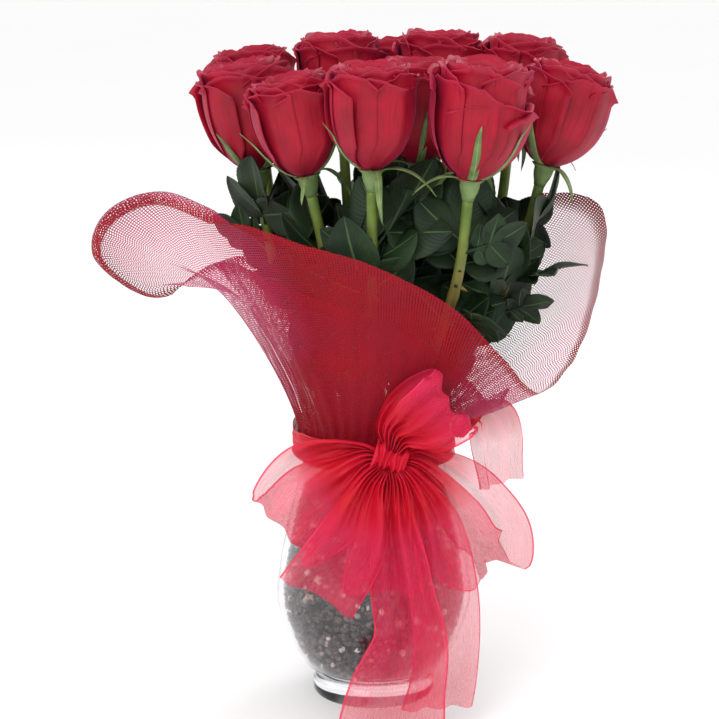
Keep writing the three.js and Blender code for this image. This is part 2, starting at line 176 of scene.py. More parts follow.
# %% Shared effects
mottle, inside, outside = new_group(
    "mottle",
    {"Vector": VECTOR, "Scale": FLOAT, "First": COLOUR, "Second": COLOUR},
    {"Colour": COLOUR, "Height": FLOAT},
)
patches = add_node(
    mottle,
    "ShaderNodeTexNoise",
    {"Vector": inside.outputs["Vector"], "Scale": inside.outputs["Scale"], "Detail": 4.0},
)
sharper = add_node(mottle, "ShaderNodeMapRange", {0: patches.outputs["Fac"], 1: 0.32, 2: 0.68})
blended = mix_colours(mottle, sharper.outputs[0], inside.outputs["First"], inside.outputs["Second"])
mottle.links.new(blended, outside.inputs["Colour"])
mottle.links.new(patches.outputs["Fac"], outside.inputs["Height"])

veins, inside, outside = new_group(
    "veins", {"Vector": VECTOR, "Count": FLOAT, "Slant": FLOAT}, {"Lines": FLOAT, "Midrib": FLOAT}
)
strip = add_node(veins, "ShaderNodeSeparateXYZ", {0: inside.outputs["Vector"]})
aside = maths(veins, "ABSOLUTE", maths(veins, "SUBTRACT", strip.outputs[0], 0.5))
climb = maths(veins, "MULTIPLY", aside, inside.outputs["Slant"])
ladder = maths(veins, "MULTIPLY", maths(veins, "SUBTRACT", strip.outputs[1], climb), inside.outputs["Count"])
waves = maths(veins, "SINE", maths(veins, "MULTIPLY", ladder, 2 * math.pi))
thin = add_node(veins, "ShaderNodeMapRange", {0: waves, 1: 0.86, 2: 1.0})
rib = add_node(veins, "ShaderNodeMapRange", {0: aside, 1: 0.035, 2: 0.008})
veins.links.new(thin.outputs[0], outside.inputs["Lines"])
veins.links.new(rib.outputs[0], outside.inputs["Midrib"])

weave, inside, outside = new_group(
    "weave", {"Vector": VECTOR, "Pitch": FLOAT, "Share": FLOAT}, {"Threads": FLOAT, "Height": FLOAT}
)
cloth = add_node(weave, "ShaderNodeSeparateXYZ", {0: inside.outputs["Vector"]})
threads = []
for axis in (0, 1):
    count = maths(weave, "DIVIDE", cloth.outputs[axis], inside.outputs["Pitch"])
    spot = maths(weave, "ABSOLUTE", maths(weave, "SUBTRACT", maths(weave, "FRACT", count), 0.5))
    reach = maths(weave, "SUBTRACT", maths(weave, "MULTIPLY", inside.outputs["Share"], 0.5), spot)
    threads.append(maths(weave, "MULTIPLY", maths(weave, "ADD", reach, 0.04), 12.5, clamp=True))
crossing = maths(weave, "MAXIMUM", threads[0], threads[1])
weave.links.new(crossing, outside.inputs["Threads"])
weave.links.new(maths(weave, "ADD", threads[0], threads[1]), outside.inputs["Height"])

print("node groups:", [group.name for group in bpy.data.node_groups])

# %% [markdown]
# Most pieces here are thin bent sheets: petals, sepals, leaflets, mesh and ribbon. Each starts as a
# flat grid with a UV map, and every vertex is then moved to its place on the bent sheet. The UV map
# is kept in the sheet's own measure, so that veins and threads follow its surface.

# %% Mesh helpers
def corners(node):
    """The distinct vertices of a CAD node, in metres."""
    places = np.array([v.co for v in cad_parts[node].data.vertices])
    return np.unique(places.round(6), axis=0)


def new_bmesh():
    """An empty bmesh with a UV map."""
    bm = bmesh.new()
    bm.loops.layers.uv.new("UVMap")
    return bm


def lay_grid(bm, columns, rows, place, size=(1, 1)):
    """Adds a sheet: place gives its point for a share across and a share along."""
    made = bmesh.ops.create_grid(bm, x_segments=columns, y_segments=rows, size=0.5, calc_uvs=True)["verts"]
    layer = bm.loops.layers.uv.active
    for face in {face for vert in made for face in vert.link_faces}:
        for loop in face.loops:
            loop[layer].uv = (loop[layer].uv.x * size[0], loop[layer].uv.y * size[1])
    for vert in made:
        vert.co = place(vert.co.x + 0.5, vert.co.y + 0.5)
    return made


def add_piece(name, bm, material, replaces=(), smooth=True):
    """Makes the finished piece from its bmesh and puts it on the CAD's body."""
    mesh = bpy.data.meshes.new(name)
    bm.to_mesh(mesh)
    bm.free()
    mesh.materials.append(material)
    mesh.polygons.foreach_set("use_smooth", [smooth] * len(mesh.polygons))
    piece = bpy.data.objects.new(name, mesh)
    scene.collection.objects.link(piece)
    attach(piece, "root")
    if replaces:
        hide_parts(*replaces)
    return piece


def lathe(profile, steps):
    """The bmesh of a closed solid turned round +Z from a line of radii and heights."""
    bm = new_bmesh()
    rim = [bm.verts.new((r, 0, z)) for r, z in profile]
    line = [bm.edges.new(pair) for pair in zip(rim, rim[1:])]
    whole = {"cent": (0, 0, 0), "axis": (0, 0, 1), "angle": 2 * math.pi, "use_merge": True}
    bmesh.ops.spin(bm, geom=rim + line, steps=steps, **whole)
    bmesh.ops.remove_doubles(bm, verts=bm.verts[:], dist=0.00005)
    bmesh.ops.recalc_face_normals(bm, faces=bm.faces[:])
    return bm


def thicken(piece, thickness):
    """Gives a sheet its thickness, inwards from the modelled side."""
    solid = piece.modifiers.new("thickness", "SOLIDIFY")
    solid.thickness = thickness
    solid.offset = -1


def through(points, share, closed=False):
    """A point of the smooth curve through points, at a share of the way along it."""
    count = len(points)
    along = share * (count if closed else count - 1)
    first = min(int(along), count - 1 if closed else count - 2)
    here = along - first

    def pick(i):
        if closed:
            return points[i % count]
        if i < 0:
            return 2 * points[0] - points[1]
        if i >= count:
            return 2 * points[-1] - points[-2]
        return points[i]

    a, b, c, d = (pick(first + i) for i in (-1, 0, 1, 2))
    before, middle, after = ((q - p).length ** 0.5 or 1e-4 for p, q in ((a, b), (b, c), (c, d)))
    leave = ((b - a) / before - (c - a) / (before + middle) + (c - b) / middle) * middle
    arrive = ((c - b) / middle - (d - b) / (middle + after) + (d - c) / after) * middle
    bend, twist = -3 * b + 3 * c - 2 * leave - arrive, 2 * b - 2 * c + leave + arrive
    return b + here * leave + here**2 * bend + here**3 * twist


def wobble(x, y, z):
    """Smooth noise from -1 to 1."""
    return noise.noise(Vector((x, y, z)))


# %% [markdown]
# ## Petals
#
# A red rose's petal is velvety: it looks darker face on and takes a bluish pink bloom at grazing
# angles, which is what the Principled shader's sheen does. Fine veins fan up from its base. Its rim is
# painted paler pink, a painted highlight, and its foot is painted darker, a painted shade for the depth
# of the cup. The colours sit close to what the eye sees, because the light is white.

# %% Petal finish
petal_finish, tree, shader = new_material("petal_velvet")
chart = add_node(tree, "ShaderNodeUVMap", uv_map="UVMap").outputs[0]
place = add_node(tree, "ShaderNodeTexCoord").outputs["Object"]
velvet = add_node(tree, "ShaderNodeGroup", node_tree=mottle)
tree.links.new(place, velvet.inputs["Vector"])
velvet.inputs["Scale"].default_value = 55
velvet.inputs["First"].default_value = colour(140, 4, 30)
velvet.inputs["Second"].default_value = colour(172, 8, 40)
stretched = add_node(tree, "ShaderNodeMapping", {"Vector": chart, "Scale": (26, 2.2, 1)}).outputs[0]
fibres = add_node(tree, "ShaderNodeTexNoise", {"Vector": stretched, "Scale": 1.0, "Detail": 5.0})
fibres = fibres.outputs["Fac"]
vein = add_node(tree, "ShaderNodeMapRange", {0: fibres, 1: 0.52, 2: 0.7, 3: 0.0, 4: 0.5}).outputs[0]
veined = mix_colours(tree, vein, velvet.outputs["Colour"], colour(112, 2, 22))
up_petal = add_node(tree, "ShaderNodeSeparateXYZ", {0: chart}).outputs
# The rim is painted paler pink, a painted highlight along the petal's edge.
rim = add_node(tree, "ShaderNodeMapRange", {0: up_petal[1], 1: 0.9, 2: 1.0, 3: 0.0, 4: 0.35}).outputs[0]
rim_highlighted = mix_colours(tree, rim, veined, colour(190, 30, 72))
# The petal's foot is painted darker, a painted shade for the depth of the cup.
deep = add_node(tree, "ShaderNodeMapRange", {0: up_petal[1], 1: 0.0, 2: 0.35, 3: 0.45, 4: 0.0}).outputs[0]
shaded = mix_colours(tree, deep, rim_highlighted, colour(110, 4, 26))
tree.links.new(shaded, shader.inputs["Base Color"])
grain = add_node(tree, "ShaderNodeTexNoise", {"Vector": place, "Scale": 900.0, "Detail": 2.0}).outputs["Fac"]
relief = maths(tree, "ADD", maths(tree, "MULTIPLY", fibres, 1.0), maths(tree, "MULTIPLY", grain, 0.25))
bump = add_node(tree, "ShaderNodeBump", {"Height": relief, "Strength": 0.35, "Distance": 0.0005})
tree.links.new(bump.outputs[0], shader.inputs["Normal"])
shader.inputs["Roughness"].default_value = 0.55
shader.inputs["Specular IOR Level"].default_value = 0.3
shader.inputs["Sheen Weight"].default_value = 0.35
shader.inputs["Sheen Roughness"].default_value = 0.4
shader.inputs["Sheen Tint"].default_value = colour(225, 90, 150)

# %% [markdown]
# ## Blooms
#
# A rose opens in whorls. Five broad outer petals overlap like tiles round a tall cup, and their
# lips roll outwards; inside them stand narrower, straighter petals, and a rolled core closes the
# middle. A bloom could be sculpted as one lump, but real petals cast the dark gaps that make a rose
# readable, so each petal is its own bent grid. `cup_width` is the cup's outline: full at
# the middle and drawn in towards the top.

# %% The shape of a petal
def cup_width(share):
    """The cup's radius at a share of its height, as a share of its greatest radius."""
    if share < 0.68:
        return max((1 - (1 - max(share, 0) / 0.68) ** 2.3), 0.004) ** 0.56
    return 1 - 0.1 * (min(share - 0.68, 0.4) / 0.32) ** 1.7


def petal_place(cup, petal):
    """The place function of one petal of a cup, whose foot is at the origin and which stands on +Z."""
    wide, tall, seed = cup["radius"], cup["height"], petal["seed"]

    def place(across, along):
        x = 2 * across - 1
        uneven = 0.03 * wobble(2.3 * x, 2.5, seed) + 0.02 * wobble(7 * x, 7.5, seed)
        top = petal["top"] * (1 - petal["round"] * abs(x) ** 2.6) + uneven
        share = along * top
        roll = petal["roll"] * (0.8 + 0.4 * abs(x) ** 1.5 + 0.3 * wobble(1.7 * x, 0.3, seed + 9))
        lip = top - roll
        body = min(share, lip)
        angle = petal["turn"] + x * petal["half"] * (0.5 + 0.5 * min(along / 0.35, 1) ** 0.7)
        swell = 1 + 0.035 * wobble(1.6 * x, 2.2 * along, seed + 4) + petal["tuck"] * x
        radius = petal["girth"] * wide * cup_width(body) * swell
        edge = max(x - 0.72, 0) / 0.28
        radius += 0.0022 * edge**2 * min(along / 0.4, 1)
        height = body * tall
        if share > lip:
            curl = petal["curl"] * (0.8 + 0.45 * wobble(1.9 * x, 5.1, seed + 2))
            bend = (share - lip) / roll * curl
            arc = roll * tall / curl
            radius += arc * (1 - math.cos(bend))
            height += arc * math.sin(bend)
        return Vector((radius * math.cos(angle), radius * math.sin(angle), height))

    return place


# %% [markdown]
# Every bloom gets the same whorls with its own random turns, heights and curls. `openness` says how
# far the outer lips have dropped: most of these roses are half open, and the one at the front right
# has opened furthest, so that its front petal folds down well below the rest.

# %% Build the blooms
WHORLS = [
    # petals, girth, top, rounding, half angle, roll, curl, columns, rows
    (5, 1.0, 0.95, 0.12, 60, 0.09, 80, 20, 20),
    (5, 0.92, 0.99, 0.11, 58, 0.09, 62, 18, 18),
    (5, 0.79, 1.01, 0.1, 58, 0.08, 42, 16, 14),
    (4, 0.58, 1.0, 0.08, 62, 0.08, 30, 14, 12),
]


def stand_of(bloom, calyx):
    """The foot, axis, radius and height of a bloom's CAD solid."""
    cup, star = corners(bloom), corners(calyx)
    middle = Vector(cup.mean(0))
    axis = (middle - Vector(star.mean(0))).normalized()
    heights = (cup - np.array(middle)) @ np.array(axis)
    aside = cup - np.array(middle) - np.outer(heights, np.array(axis))
    radius = float(np.linalg.norm(aside, axis=1).max())
    foot = middle + axis * float(heights.min())
    return foot, axis, radius, float(heights.max() - heights.min())


def build_bloom(number, openness, front_drop=0.0):
    """One rose: whorls of petals round a rolled core, placed on its CAD bloom."""
    foot, axis, radius, tall = stand_of(f"bloom_{number}", f"calyx_{number}")
    dice = random.Random(int(number) * 17)
    cup = {"radius": radius, "height": tall}
    bm = new_bmesh()
    start = dice.uniform(0, 6.28)
    for whorl, (petals, girth, top, rounding, half, roll, curl, columns, rows) in enumerate(WHORLS):
        for i in range(petals):
            turn = start + whorl * 0.63 + i * 2 * math.pi / petals + dice.uniform(-0.12, 0.12)
            facing = max(-math.sin(turn), 0) ** 2 if whorl == 0 else 0
            lower = 0.09 * dice.random() * openness if whorl == 0 else 0.03 * dice.random()
            folded = 55 * facing if front_drop else 0
            petal = {
                "turn": turn,
                "top": top - lower - front_drop * facing,
                "round": rounding,
                "half": math.radians(half + dice.uniform(-5, 7)),
                "girth": girth * (1 - 0.02 * dice.random()),
                "roll": roll * (0.8 + 0.5 * openness * dice.random()),
                "curl": math.radians(curl + 40 * dice.uniform(-0.5, 0.5) + folded),
                "tuck": 0.07,
                "seed": dice.uniform(0, 90),
            }
            lay_grid(bm, columns, rows, petal_place(cup, petal))

    def core(across, along):
        angle = start + across * 5.2 * math.pi
        spread = radius * (0.44 - 0.37 * across) * (0.7 + 0.3 * math.sin(math.pi * min(along, 0.5)))
        top = 0.93 + 0.03 * wobble(across * 9, 1.5, start)
        return Vector((spread * math.cos(angle), spread * math.sin(angle), tall * along * top))

    lay_grid(bm, 64, 10, core)
    turned = axis.to_track_quat("Z", "Y").to_matrix().to_4x4()
    bmesh.ops.transform(bm, matrix=Matrix.Translation(foot) @ turned, verts=bm.verts[:])
    piece = add_piece(f"rose_{number}", bm, petal_finish, [f"bloom_{number}"])
    thicken(piece, 0.00045)
    return piece


NUMBERS = [f"{i:02d}" for i in range(1, 13)]
for number in NUMBERS:
    rose = build_bloom(number, 1.2 if number == "03" else 0.9, 0.24 if number == "03" else 0.0)
print("petals in a bloom:", sum(whorl[0] for whorl in WHORLS), "faces in the last:", len(rose.data.polygons))

# %% [markdown]
# ## Hips and sepals
#
# Under each bloom sits a small green hip, and five narrow sepals leave its top. On roses at this
# stage some sepals still hug the cup and others have folded back, so each sepal is a narrow grid
# bent along its own path: up the cup's side, or out and down. The hip is a profile spun round.

# %% Green finishes
def green_finish(name, first, second, roughness, scale, gloss=0.4):
    """A mottled plant finish; the caller may still link more onto its colour."""
    material, tree, shader = new_material(name)
    place = add_node(tree, "ShaderNodeTexCoord").outputs["Object"]
    patch = add_node(tree, "ShaderNodeGroup", node_tree=mottle)
    tree.links.new(place, patch.inputs["Vector"])
    patch.inputs["Scale"].default_value = scale
    patch.inputs["First"].default_value = first
    patch.inputs["Second"].default_value = second
    tree.links.new(patch.outputs["Colour"], shader.inputs["Base Color"])
    shader.inputs["Roughness"].default_value = roughness
    shader.inputs["Specular IOR Level"].default_value = gloss
    return material, tree, shader, patch


sepal_finish, tree, shader, patch = green_finish(
    "sepal_green", colour(82, 108, 54), colour(124, 146, 92), 0.6, 120
)
chart = add_node(tree, "ShaderNodeUVMap", uv_map="UVMap").outputs[0]
ribs = add_node(tree, "ShaderNodeGroup", {"Vector": chart, "Count": 6.0, "Slant": 1.5}, node_tree=veins)
ribbed = mix_colours(tree, ribs.outputs["Midrib"], patch.outputs["Colour"], colour(168, 184, 130))
tree.links.new(ribbed, shader.inputs["Base Color"])
relief = {"Height": ribs.outputs["Midrib"], "Strength": 0.4, "Distance": 0.0005}
bump = add_node(tree, "ShaderNodeBump", relief)
tree.links.new(bump.outputs[0], shader.inputs["Normal"])


# %% Build the hips and sepals
def sepal_place(turn, stand, reach, wide, seed, radius, tall):
    """A sepal's place function. stand is its lift: above 0 it hugs the cup, below 0 it folds back."""

    def spine(along):
        length = reach * along
        if stand > 0:
            climb = min(length * 1.05, 0.8 * tall)
            out = radius * cup_width(climb / tall) + 0.0012
            lift_off = (1 - stand) * 0.012 * along**2 + 0.004 * stand * max(along - 0.75, 0) / 0.25
            return out + lift_off, climb
        bend = 0.35 + (stand - 0.55) * along
        return 0.006 + length * math.cos(bend * 0.8), 0.0005 + length * 0.9 * math.sin(bend)

    def place(across, along):
        x = 2 * across - 1
        half = wide * (1 - along) ** 0.8 * (0.75 + 0.9 * along)
        out, height = spine(along)
        lower_out, lower_height = spine(max(along - 0.05, 0))
        slope = Vector((out - lower_out, height - lower_height))
        slope = slope.normalized() if slope.length > 1e-6 else Vector((1, 0))
        cup = -0.25 * half * x * x
        radial, level = out + cup * slope.y * (1 if stand > 0 else -1), height - cup * slope.x
        aside = half * x + 0.002 * wobble(2 * along, 0.5, seed) * along
        way, flank = Vector((math.cos(turn), math.sin(turn), 0)), Vector((-math.sin(turn), math.cos(turn), 0))
        return way * radial + flank * aside + Vector((0, 0, level))

    return place


def build_calyx(number):
    """The hip and five sepals of one rose, placed on its CAD calyx."""
    foot, axis, radius, tall = stand_of(f"bloom_{number}", f"calyx_{number}")
    dice = random.Random(int(number) * 31)
    bm = new_bmesh()
    profile = [(0.0, -0.0122), (0.0033, -0.012), (0.004, -0.0094), (0.0051, -0.0065), (0.0057, -0.0038)]
    profile += [(0.0058, -0.0014), (0.0082, 0.0008), (0.0, 0.0014)]
    rim = [bm.verts.new((r, 0, z)) for r, z in profile]
    edges = [bm.edges.new(pair) for pair in zip(rim, rim[1:])]
    bmesh.ops.spin(
        bm, geom=rim + edges, cent=(0, 0, 0), axis=(0, 0, 1), angle=2 * math.pi, steps=20, use_merge=True
    )
    bmesh.ops.remove_doubles(bm, verts=bm.verts[:], dist=0.00005)
    bmesh.ops.recalc_face_normals(bm, faces=bm.faces[:])
    start = dice.uniform(0, 1.26)
    for i in range(5):
        turn = start + i * 2 * math.pi / 5 + dice.uniform(-0.15, 0.15)
        stand = dice.choice([0.95, 0.75, 0.45, -0.25, -0.7])
        reach = dice.uniform(0.027, 0.04)
        made = sepal_place(turn, stand, reach, dice.uniform(0.0026, 0.0036), dice.random() * 50, radius, tall)
        verts = lay_grid(bm, 4, 14, made)
        faces = list({face for vert in verts for face in vert.link_faces})
        bmesh.ops.solidify(bm, geom=faces, thickness=0.0006)
    bmesh.ops.recalc_face_normals(bm, faces=bm.faces[:])
    turned = axis.to_track_quat("Z", "Y").to_matrix().to_4x4()
    bmesh.ops.transform(bm, matrix=Matrix.Translation(foot) @ turned, verts=bm.verts[:])
    return add_piece(f"hip_and_sepals_{number}", bm, sepal_finish, [f"calyx_{number}"])


for number in NUMBERS:
    calyx = build_calyx(number)
print("faces in a hip with sepals:", len(calyx.data.polygons))

# %% [markdown]
# ## Stems
#
# A cut rose's stem is waxy green at the top and turns reddish brown lower down, with a few thorns.
# It is a grid rolled into a tube along the middle line of the CAD stem, which is read back from the
# CAD rings, six corners to a ring. A gradient along the height does the change of colour.

# %% Stem finish
stem_finish, tree, shader, patch = green_finish(
    "stem_bark", colour(84, 108, 40), colour(112, 132, 52), 0.45, 90
)
place = add_node(tree, "ShaderNodeTexCoord").outputs["Object"]
level = add_node(tree, "ShaderNodeSeparateXYZ", {0: place}).outputs[2]
ageing = add_node(tree, "ShaderNodeTexNoise", {"Vector": place, "Scale": 28.0, "Detail": 3.0}).outputs["Fac"]
shifted = maths(tree, "ADD", level, maths(tree, "MULTIPLY", maths(tree, "SUBTRACT", ageing, 0.5), 0.07))
brown = add_node(tree, "ShaderNodeMapRange", {0: shifted, 1: 0.315, 2: 0.25, 3: 0.0, 4: 0.85}).outputs[0]
aged = mix_colours(tree, brown, patch.outputs["Colour"], colour(120, 84, 44))
tree.links.new(aged, shader.inputs["Base Color"])
streaks = add_node(tree, "ShaderNodeMapping", {"Vector": place, "Scale": (900, 900, 60)}).outputs[0]
bark = add_node(tree, "ShaderNodeTexNoise", {"Vector": streaks, "Scale": 1.0}).outputs["Fac"]
bump = add_node(tree, "ShaderNodeBump", {"Height": bark, "Strength": 0.3, "Distance": 0.0004})
tree.links.new(bump.outputs[0], shader.inputs["Normal"])


# %% Build the stems
def stem_line(number):
    """The middle line of a CAD stem, from its foot to its top."""
    places = corners(f"stem_{number}")
    places = places[np.argsort(places[:, 2])]
    rings = [places[i : i + 6] for i in range(0, len(places) - 5, 6)]
    return [Vector(ring.mean(0)) for ring in rings]


def build_stem(number):
    """A round stem with thorns, along its CAD stem."""
    line = stem_line(number)
    dice = random.Random(int(number) * 7)
    bm = new_bmesh()

    def place(across, along):
        here = through(line, along)
        way = (through(line, min(along + 0.01, 1)) - through(line, max(along - 0.01, 0))).normalized()
        first = way.cross(Vector((0, 1, 0))).normalized()
        second = way.cross(first)
        angle = -across * 2 * math.pi
        knots = 1 + 0.16 * sum(math.exp(-(((along - k) / 0.012) ** 2)) for k in (0.42, 0.63, 0.82))
        radius = 0.0031 * knots * (1 + 0.04 * wobble(along * 12, across * 2, line[0].x * 90))
        return here + (first * math.cos(angle) + second * math.sin(angle)) * radius

    tube = lay_grid(bm, 14, 90, place)
    bmesh.ops.remove_doubles(bm, verts=tube, dist=0.00002)
    bmesh.ops.holes_fill(bm, edges=[edge for edge in bm.edges if edge.is_boundary])
    for _ in range(7):
        along, across = dice.uniform(0.45, 0.93), dice.random()
        root, side = through(line, along), place(across, along)
        way = (side - root).normalized()
        thorn = bmesh.ops.create_cone(
            bm, segments=8, radius1=0.0017, radius2=0.0001, depth=0.0052, cap_ends=True
        )["verts"]
        turned = (way + Vector((0, 0, -0.35))).to_track_quat("Z", "Y").to_matrix().to_4x4()
        bmesh.ops.transform(bm, matrix=Matrix.Translation(side + way * 0.0018) @ turned, verts=thorn)
    bmesh.ops.recalc_face_normals(bm, faces=bm.faces[:])
    return add_piece(f"rose_stem_{number}", bm, stem_finish, [f"stem_{number}"])


for number in NUMBERS:
    build_stem(number)
print("stem", number, "runs from", [round(x, 3) for x in stem_line(number)[0]])

# %% [markdown]
# ## Leaves
#
# A rose leaf has a stalk with toothed oval leaflets, dark and slightly glossy above and greyer
# below, with a pale midrib and side veins. The CAD leaf is one flat plate, so its middle line and
# facing are read from it, and each leaflet is a grid with teeth along its edge, folded a little
# along the midrib and drooping to its tip. Backfacing switches to the paler underside.

# %% Leaf finish
leaf_finish, tree, shader, patch = green_finish(
    "leaf_green", colour(20, 36, 22), colour(40, 60, 34), 0.5, 45, 0.25
)
chart = add_node(tree, "ShaderNodeUVMap", uv_map="UVMap").outputs[0]
ribs = add_node(tree, "ShaderNodeGroup", {"Vector": chart, "Count": 11.0, "Slant": 0.9}, node_tree=veins)
side_veins = maths(tree, "MULTIPLY", ribs.outputs["Lines"], 0.25)
lined = mix_colours(tree, side_veins, patch.outputs["Colour"], colour(48, 72, 42))
ribbed = mix_colours(tree, ribs.outputs["Midrib"], lined, colour(78, 104, 62))
below = add_node(tree, "ShaderNodeNewGeometry").outputs["Backfacing"]
two_sided = mix_colours(tree, below, ribbed, colour(98, 118, 88))
tree.links.new(two_sided, shader.inputs["Base Color"])
height = maths(tree, "ADD", maths(tree, "MULTIPLY", ribs.outputs["Lines"], 0.5), ribs.outputs["Midrib"])
bump = add_node(tree, "ShaderNodeBump", {"Height": height, "Strength": 0.6, "Distance": 0.0008})
bump.invert = True
tree.links.new(bump.outputs[0], shader.inputs["Normal"])


# %% Build the leaves
STEM_LINES = {number: stem_line(number) for number in NUMBERS}
STEM_POINTS = np.array([p for line in STEM_LINES.values() for p in line])


def leaf_frame(node):
    """Where a CAD leaf starts, the way it points, its flank and its upper side, and its length."""
    plate = corners(node)
    near = [float(np.linalg.norm(STEM_POINTS - p, axis=1).min()) for p in plate]
    root = Vector(plate[int(np.argmin(near))])
    tip = Vector(plate[int(np.argmax(np.linalg.norm(plate - np.array(root), axis=1)))])
    way = (tip - root).normalized()
    middle = plate - plate.mean(0)
    face = Vector(np.linalg.svd(middle, full_matrices=False)[2][2])
    outward = Vector((root.x, root.y, 0)).normalized() + Vector((0, 0, 1))
    if face.dot(outward) < 0:
        face = -face
    flank = face.cross(way).normalized()
    return root, way, flank, way.cross(flank), (tip - root).length


def leaflet_place(start, way, flank, face, length, width, droop, seed):
    """The place function of one toothed leaflet."""

    def place(across, along):
        x = 2 * across - 1
        bulge = max(math.sin(math.pi * min(max(along, 0.0), 1.0) ** 0.86), 0)
        shape = 0.5 * bulge**0.66 * (1.1 - 0.16 * along)
        tooth = (along * 15) % 1
        half = width * max(shape, 0.004) * (1 + 0.05 * (tooth - 0.5) * min(abs(x) * 1.2, 1) ** 3)
        fold = 0.2 * (x * x + 0.15 * abs(x)) * half
        wave = 0.0016 * wobble(3 * along, 1.4 * x, seed) * abs(x)
        wave += 0.0012 * wobble(1.5 * along, 0.2, seed + 5)
        sink = droop * length * along**2
        return start + way * (along * length) + flank * (half * x) + face * (fold + wave - sink)

    return place


FIVE = [(0.62, 0, 1.0), (0.5, 64, 0.86), (0.5, -64, 0.86), (0.2, 72, 0.62), (0.2, -72, 0.62)]
THREE = [(0.6, 0, 1.0), (0.34, 58, 0.94), (0.34, -58, 0.94)]


def add_leaf(bm, root, way, flank, face, long, dice, grid=(10, 45), leaflets=FIVE):
    """A stalk with its leaflets; long is the tip leaflet's length."""

    def stalk(across, along):
        angle = across * 2 * math.pi
        ring = flank * math.cos(angle) + face * math.sin(angle)
        return root - way * 0.004 + way * (along * (0.66 * long + 0.004)) + ring * (0.0011 - 0.0004 * along)

    tube = lay_grid(bm, 8, 14, stalk)
    bmesh.ops.remove_doubles(bm, verts=tube, dist=0.00002)
    for at, turn, size in leaflets:
        bend = math.radians(turn + dice.uniform(-5, 5))
        ahead = way * math.cos(bend) + flank * math.sin(bend)
        aside = flank * math.cos(bend) - way * math.sin(bend)
        tilt = face * dice.uniform(-0.06, 0.1)
        start = root + way * (at * long)
        droop = dice.uniform(0.06, 0.2)
        length, wide = size * long, 0.78 * size * long
        ahead = (ahead + tilt).normalized()
        lay_grid(bm, *grid, leaflet_place(start, ahead, aside, face, length, wide, droop, dice.random() * 40))


for number in NUMBERS[:11]:
    bm = new_bmesh()
    root, way, flank, face, length = leaf_frame(f"leaf_{number}")
    add_leaf(bm, root, way, flank, face, length / 1.62, random.Random(int(number) * 13))
    bmesh.ops.holes_fill(bm, edges=[edge for edge in bm.edges if edge.is_boundary], sides=8)
    leaf = add_piece(f"rose_leaf_{number}", bm, leaf_finish, [f"leaf_{number}"])
    thicken(leaf, 0.00035)
print("leaves:", 11, "faces in the last:", len(leaf.data.polygons))

# %% [markdown]
# A bouquet looks full because every stem carries leaves down inside the wrap. Each stem gets nine
# more leaves of three large leaflets, which climb steeply, fill the space between the stems and
# darken the net from behind. Leaves are drawn by chance, and one is kept only if its tips lie inside
# the wrap. These leaves are for the look alone: the CAD model doesn't have them.

# %% Fill with greenery
def inside_wrap(place):
    """Whether a leaf's end is a little inside the wrap, which opens widest to the right."""
    out = math.hypot(place.x, place.y)
    open_side = max(place.x / max(out, 0.001), 0) ** 2
    levels = [0.18, 0.21, 0.25, 0.29, 0.34]
    shut = float(np.interp(place.z, levels, [0.034, 0.046, 0.064, 0.08, 0.094]))
    wide = float(np.interp(place.z, levels, [0.034, 0.058, 0.098, 0.116, 0.122]))
    if place.y > 0:
        wide -= 0.018 * min(place.y / 0.03, 1)
    return out < shut + (wide - shut) * open_side and place.z < 0.348


def build_greenery(number, count):
    """Steep leaves on one stem, inside the wrap."""
    line, dice = STEM_LINES[number], random.Random(int(number) * 23 + 4)
    bm = new_bmesh()
    middle = math.atan2(line[-1].y, line[-1].x)
    made = 0
    for attempt in range(900):
        # A stem close to the wrap's wall needs leaves that turn further in and are a little smaller.
        late = attempt / 900
        z, long = dice.uniform(0.19, 0.306), dice.uniform(0.034, 0.044) * (1 - 0.35 * late)
        azimuth = middle + dice.uniform(-2.4, 2.4) * (1 + 0.3 * late)
        climb = math.radians(dice.uniform(36, 76))
        roll = math.radians(dice.uniform(-35, 35))
        root = min((through(line, k / 100) for k in range(101)), key=lambda p: abs(p.z - z))
        level_share = math.cos(climb)
        way = Vector((math.cos(azimuth) * level_share, math.sin(azimuth) * level_share, math.sin(climb)))
        level = Vector((-math.sin(azimuth), math.cos(azimuth), 0))
        flank = (level * math.cos(roll) + level.cross(way) * math.sin(roll)).normalized()
        face = way.cross(flank)
        if face.dot(Vector((math.cos(azimuth), math.sin(azimuth), 0.6))) < 0:
            face, flank = -face, -flank
        ends = [root + way * 1.6 * long]
        ends += [root + way * 0.85 * long + flank * side * long for side in (-0.78, 0.78)]
        if made < count and all(inside_wrap(end) for end in ends):
            add_leaf(bm, root, way, flank, face, long, dice, (8, 28), THREE)
            made += 1
    print("greenery on stem", number, "leaves", made)
    bmesh.ops.holes_fill(bm, edges=[edge for edge in bm.edges if edge.is_boundary], sides=8)
    piece = add_piece(f"greenery_{number}", bm, leaf_finish)
    thicken(piece, 0.00035)
    return piece


for number in NUMBERS:
    greenery = build_greenery(number, 9)
print("faces of greenery on the last stem:", len(greenery.data.polygons))

# %% [markdown]
# ## Glass vase
#
# The vase is blown glass: a thick round foot, a belly and a neck that flares to the lip. Its CAD
# profile has 32 flat sides, which glass would show, so the same profile is read from the CAD's
# corners and spun in 96 steps. Light that only passes through to something else is let straight
# through, because traced shadows of clear glass would be far too dark.

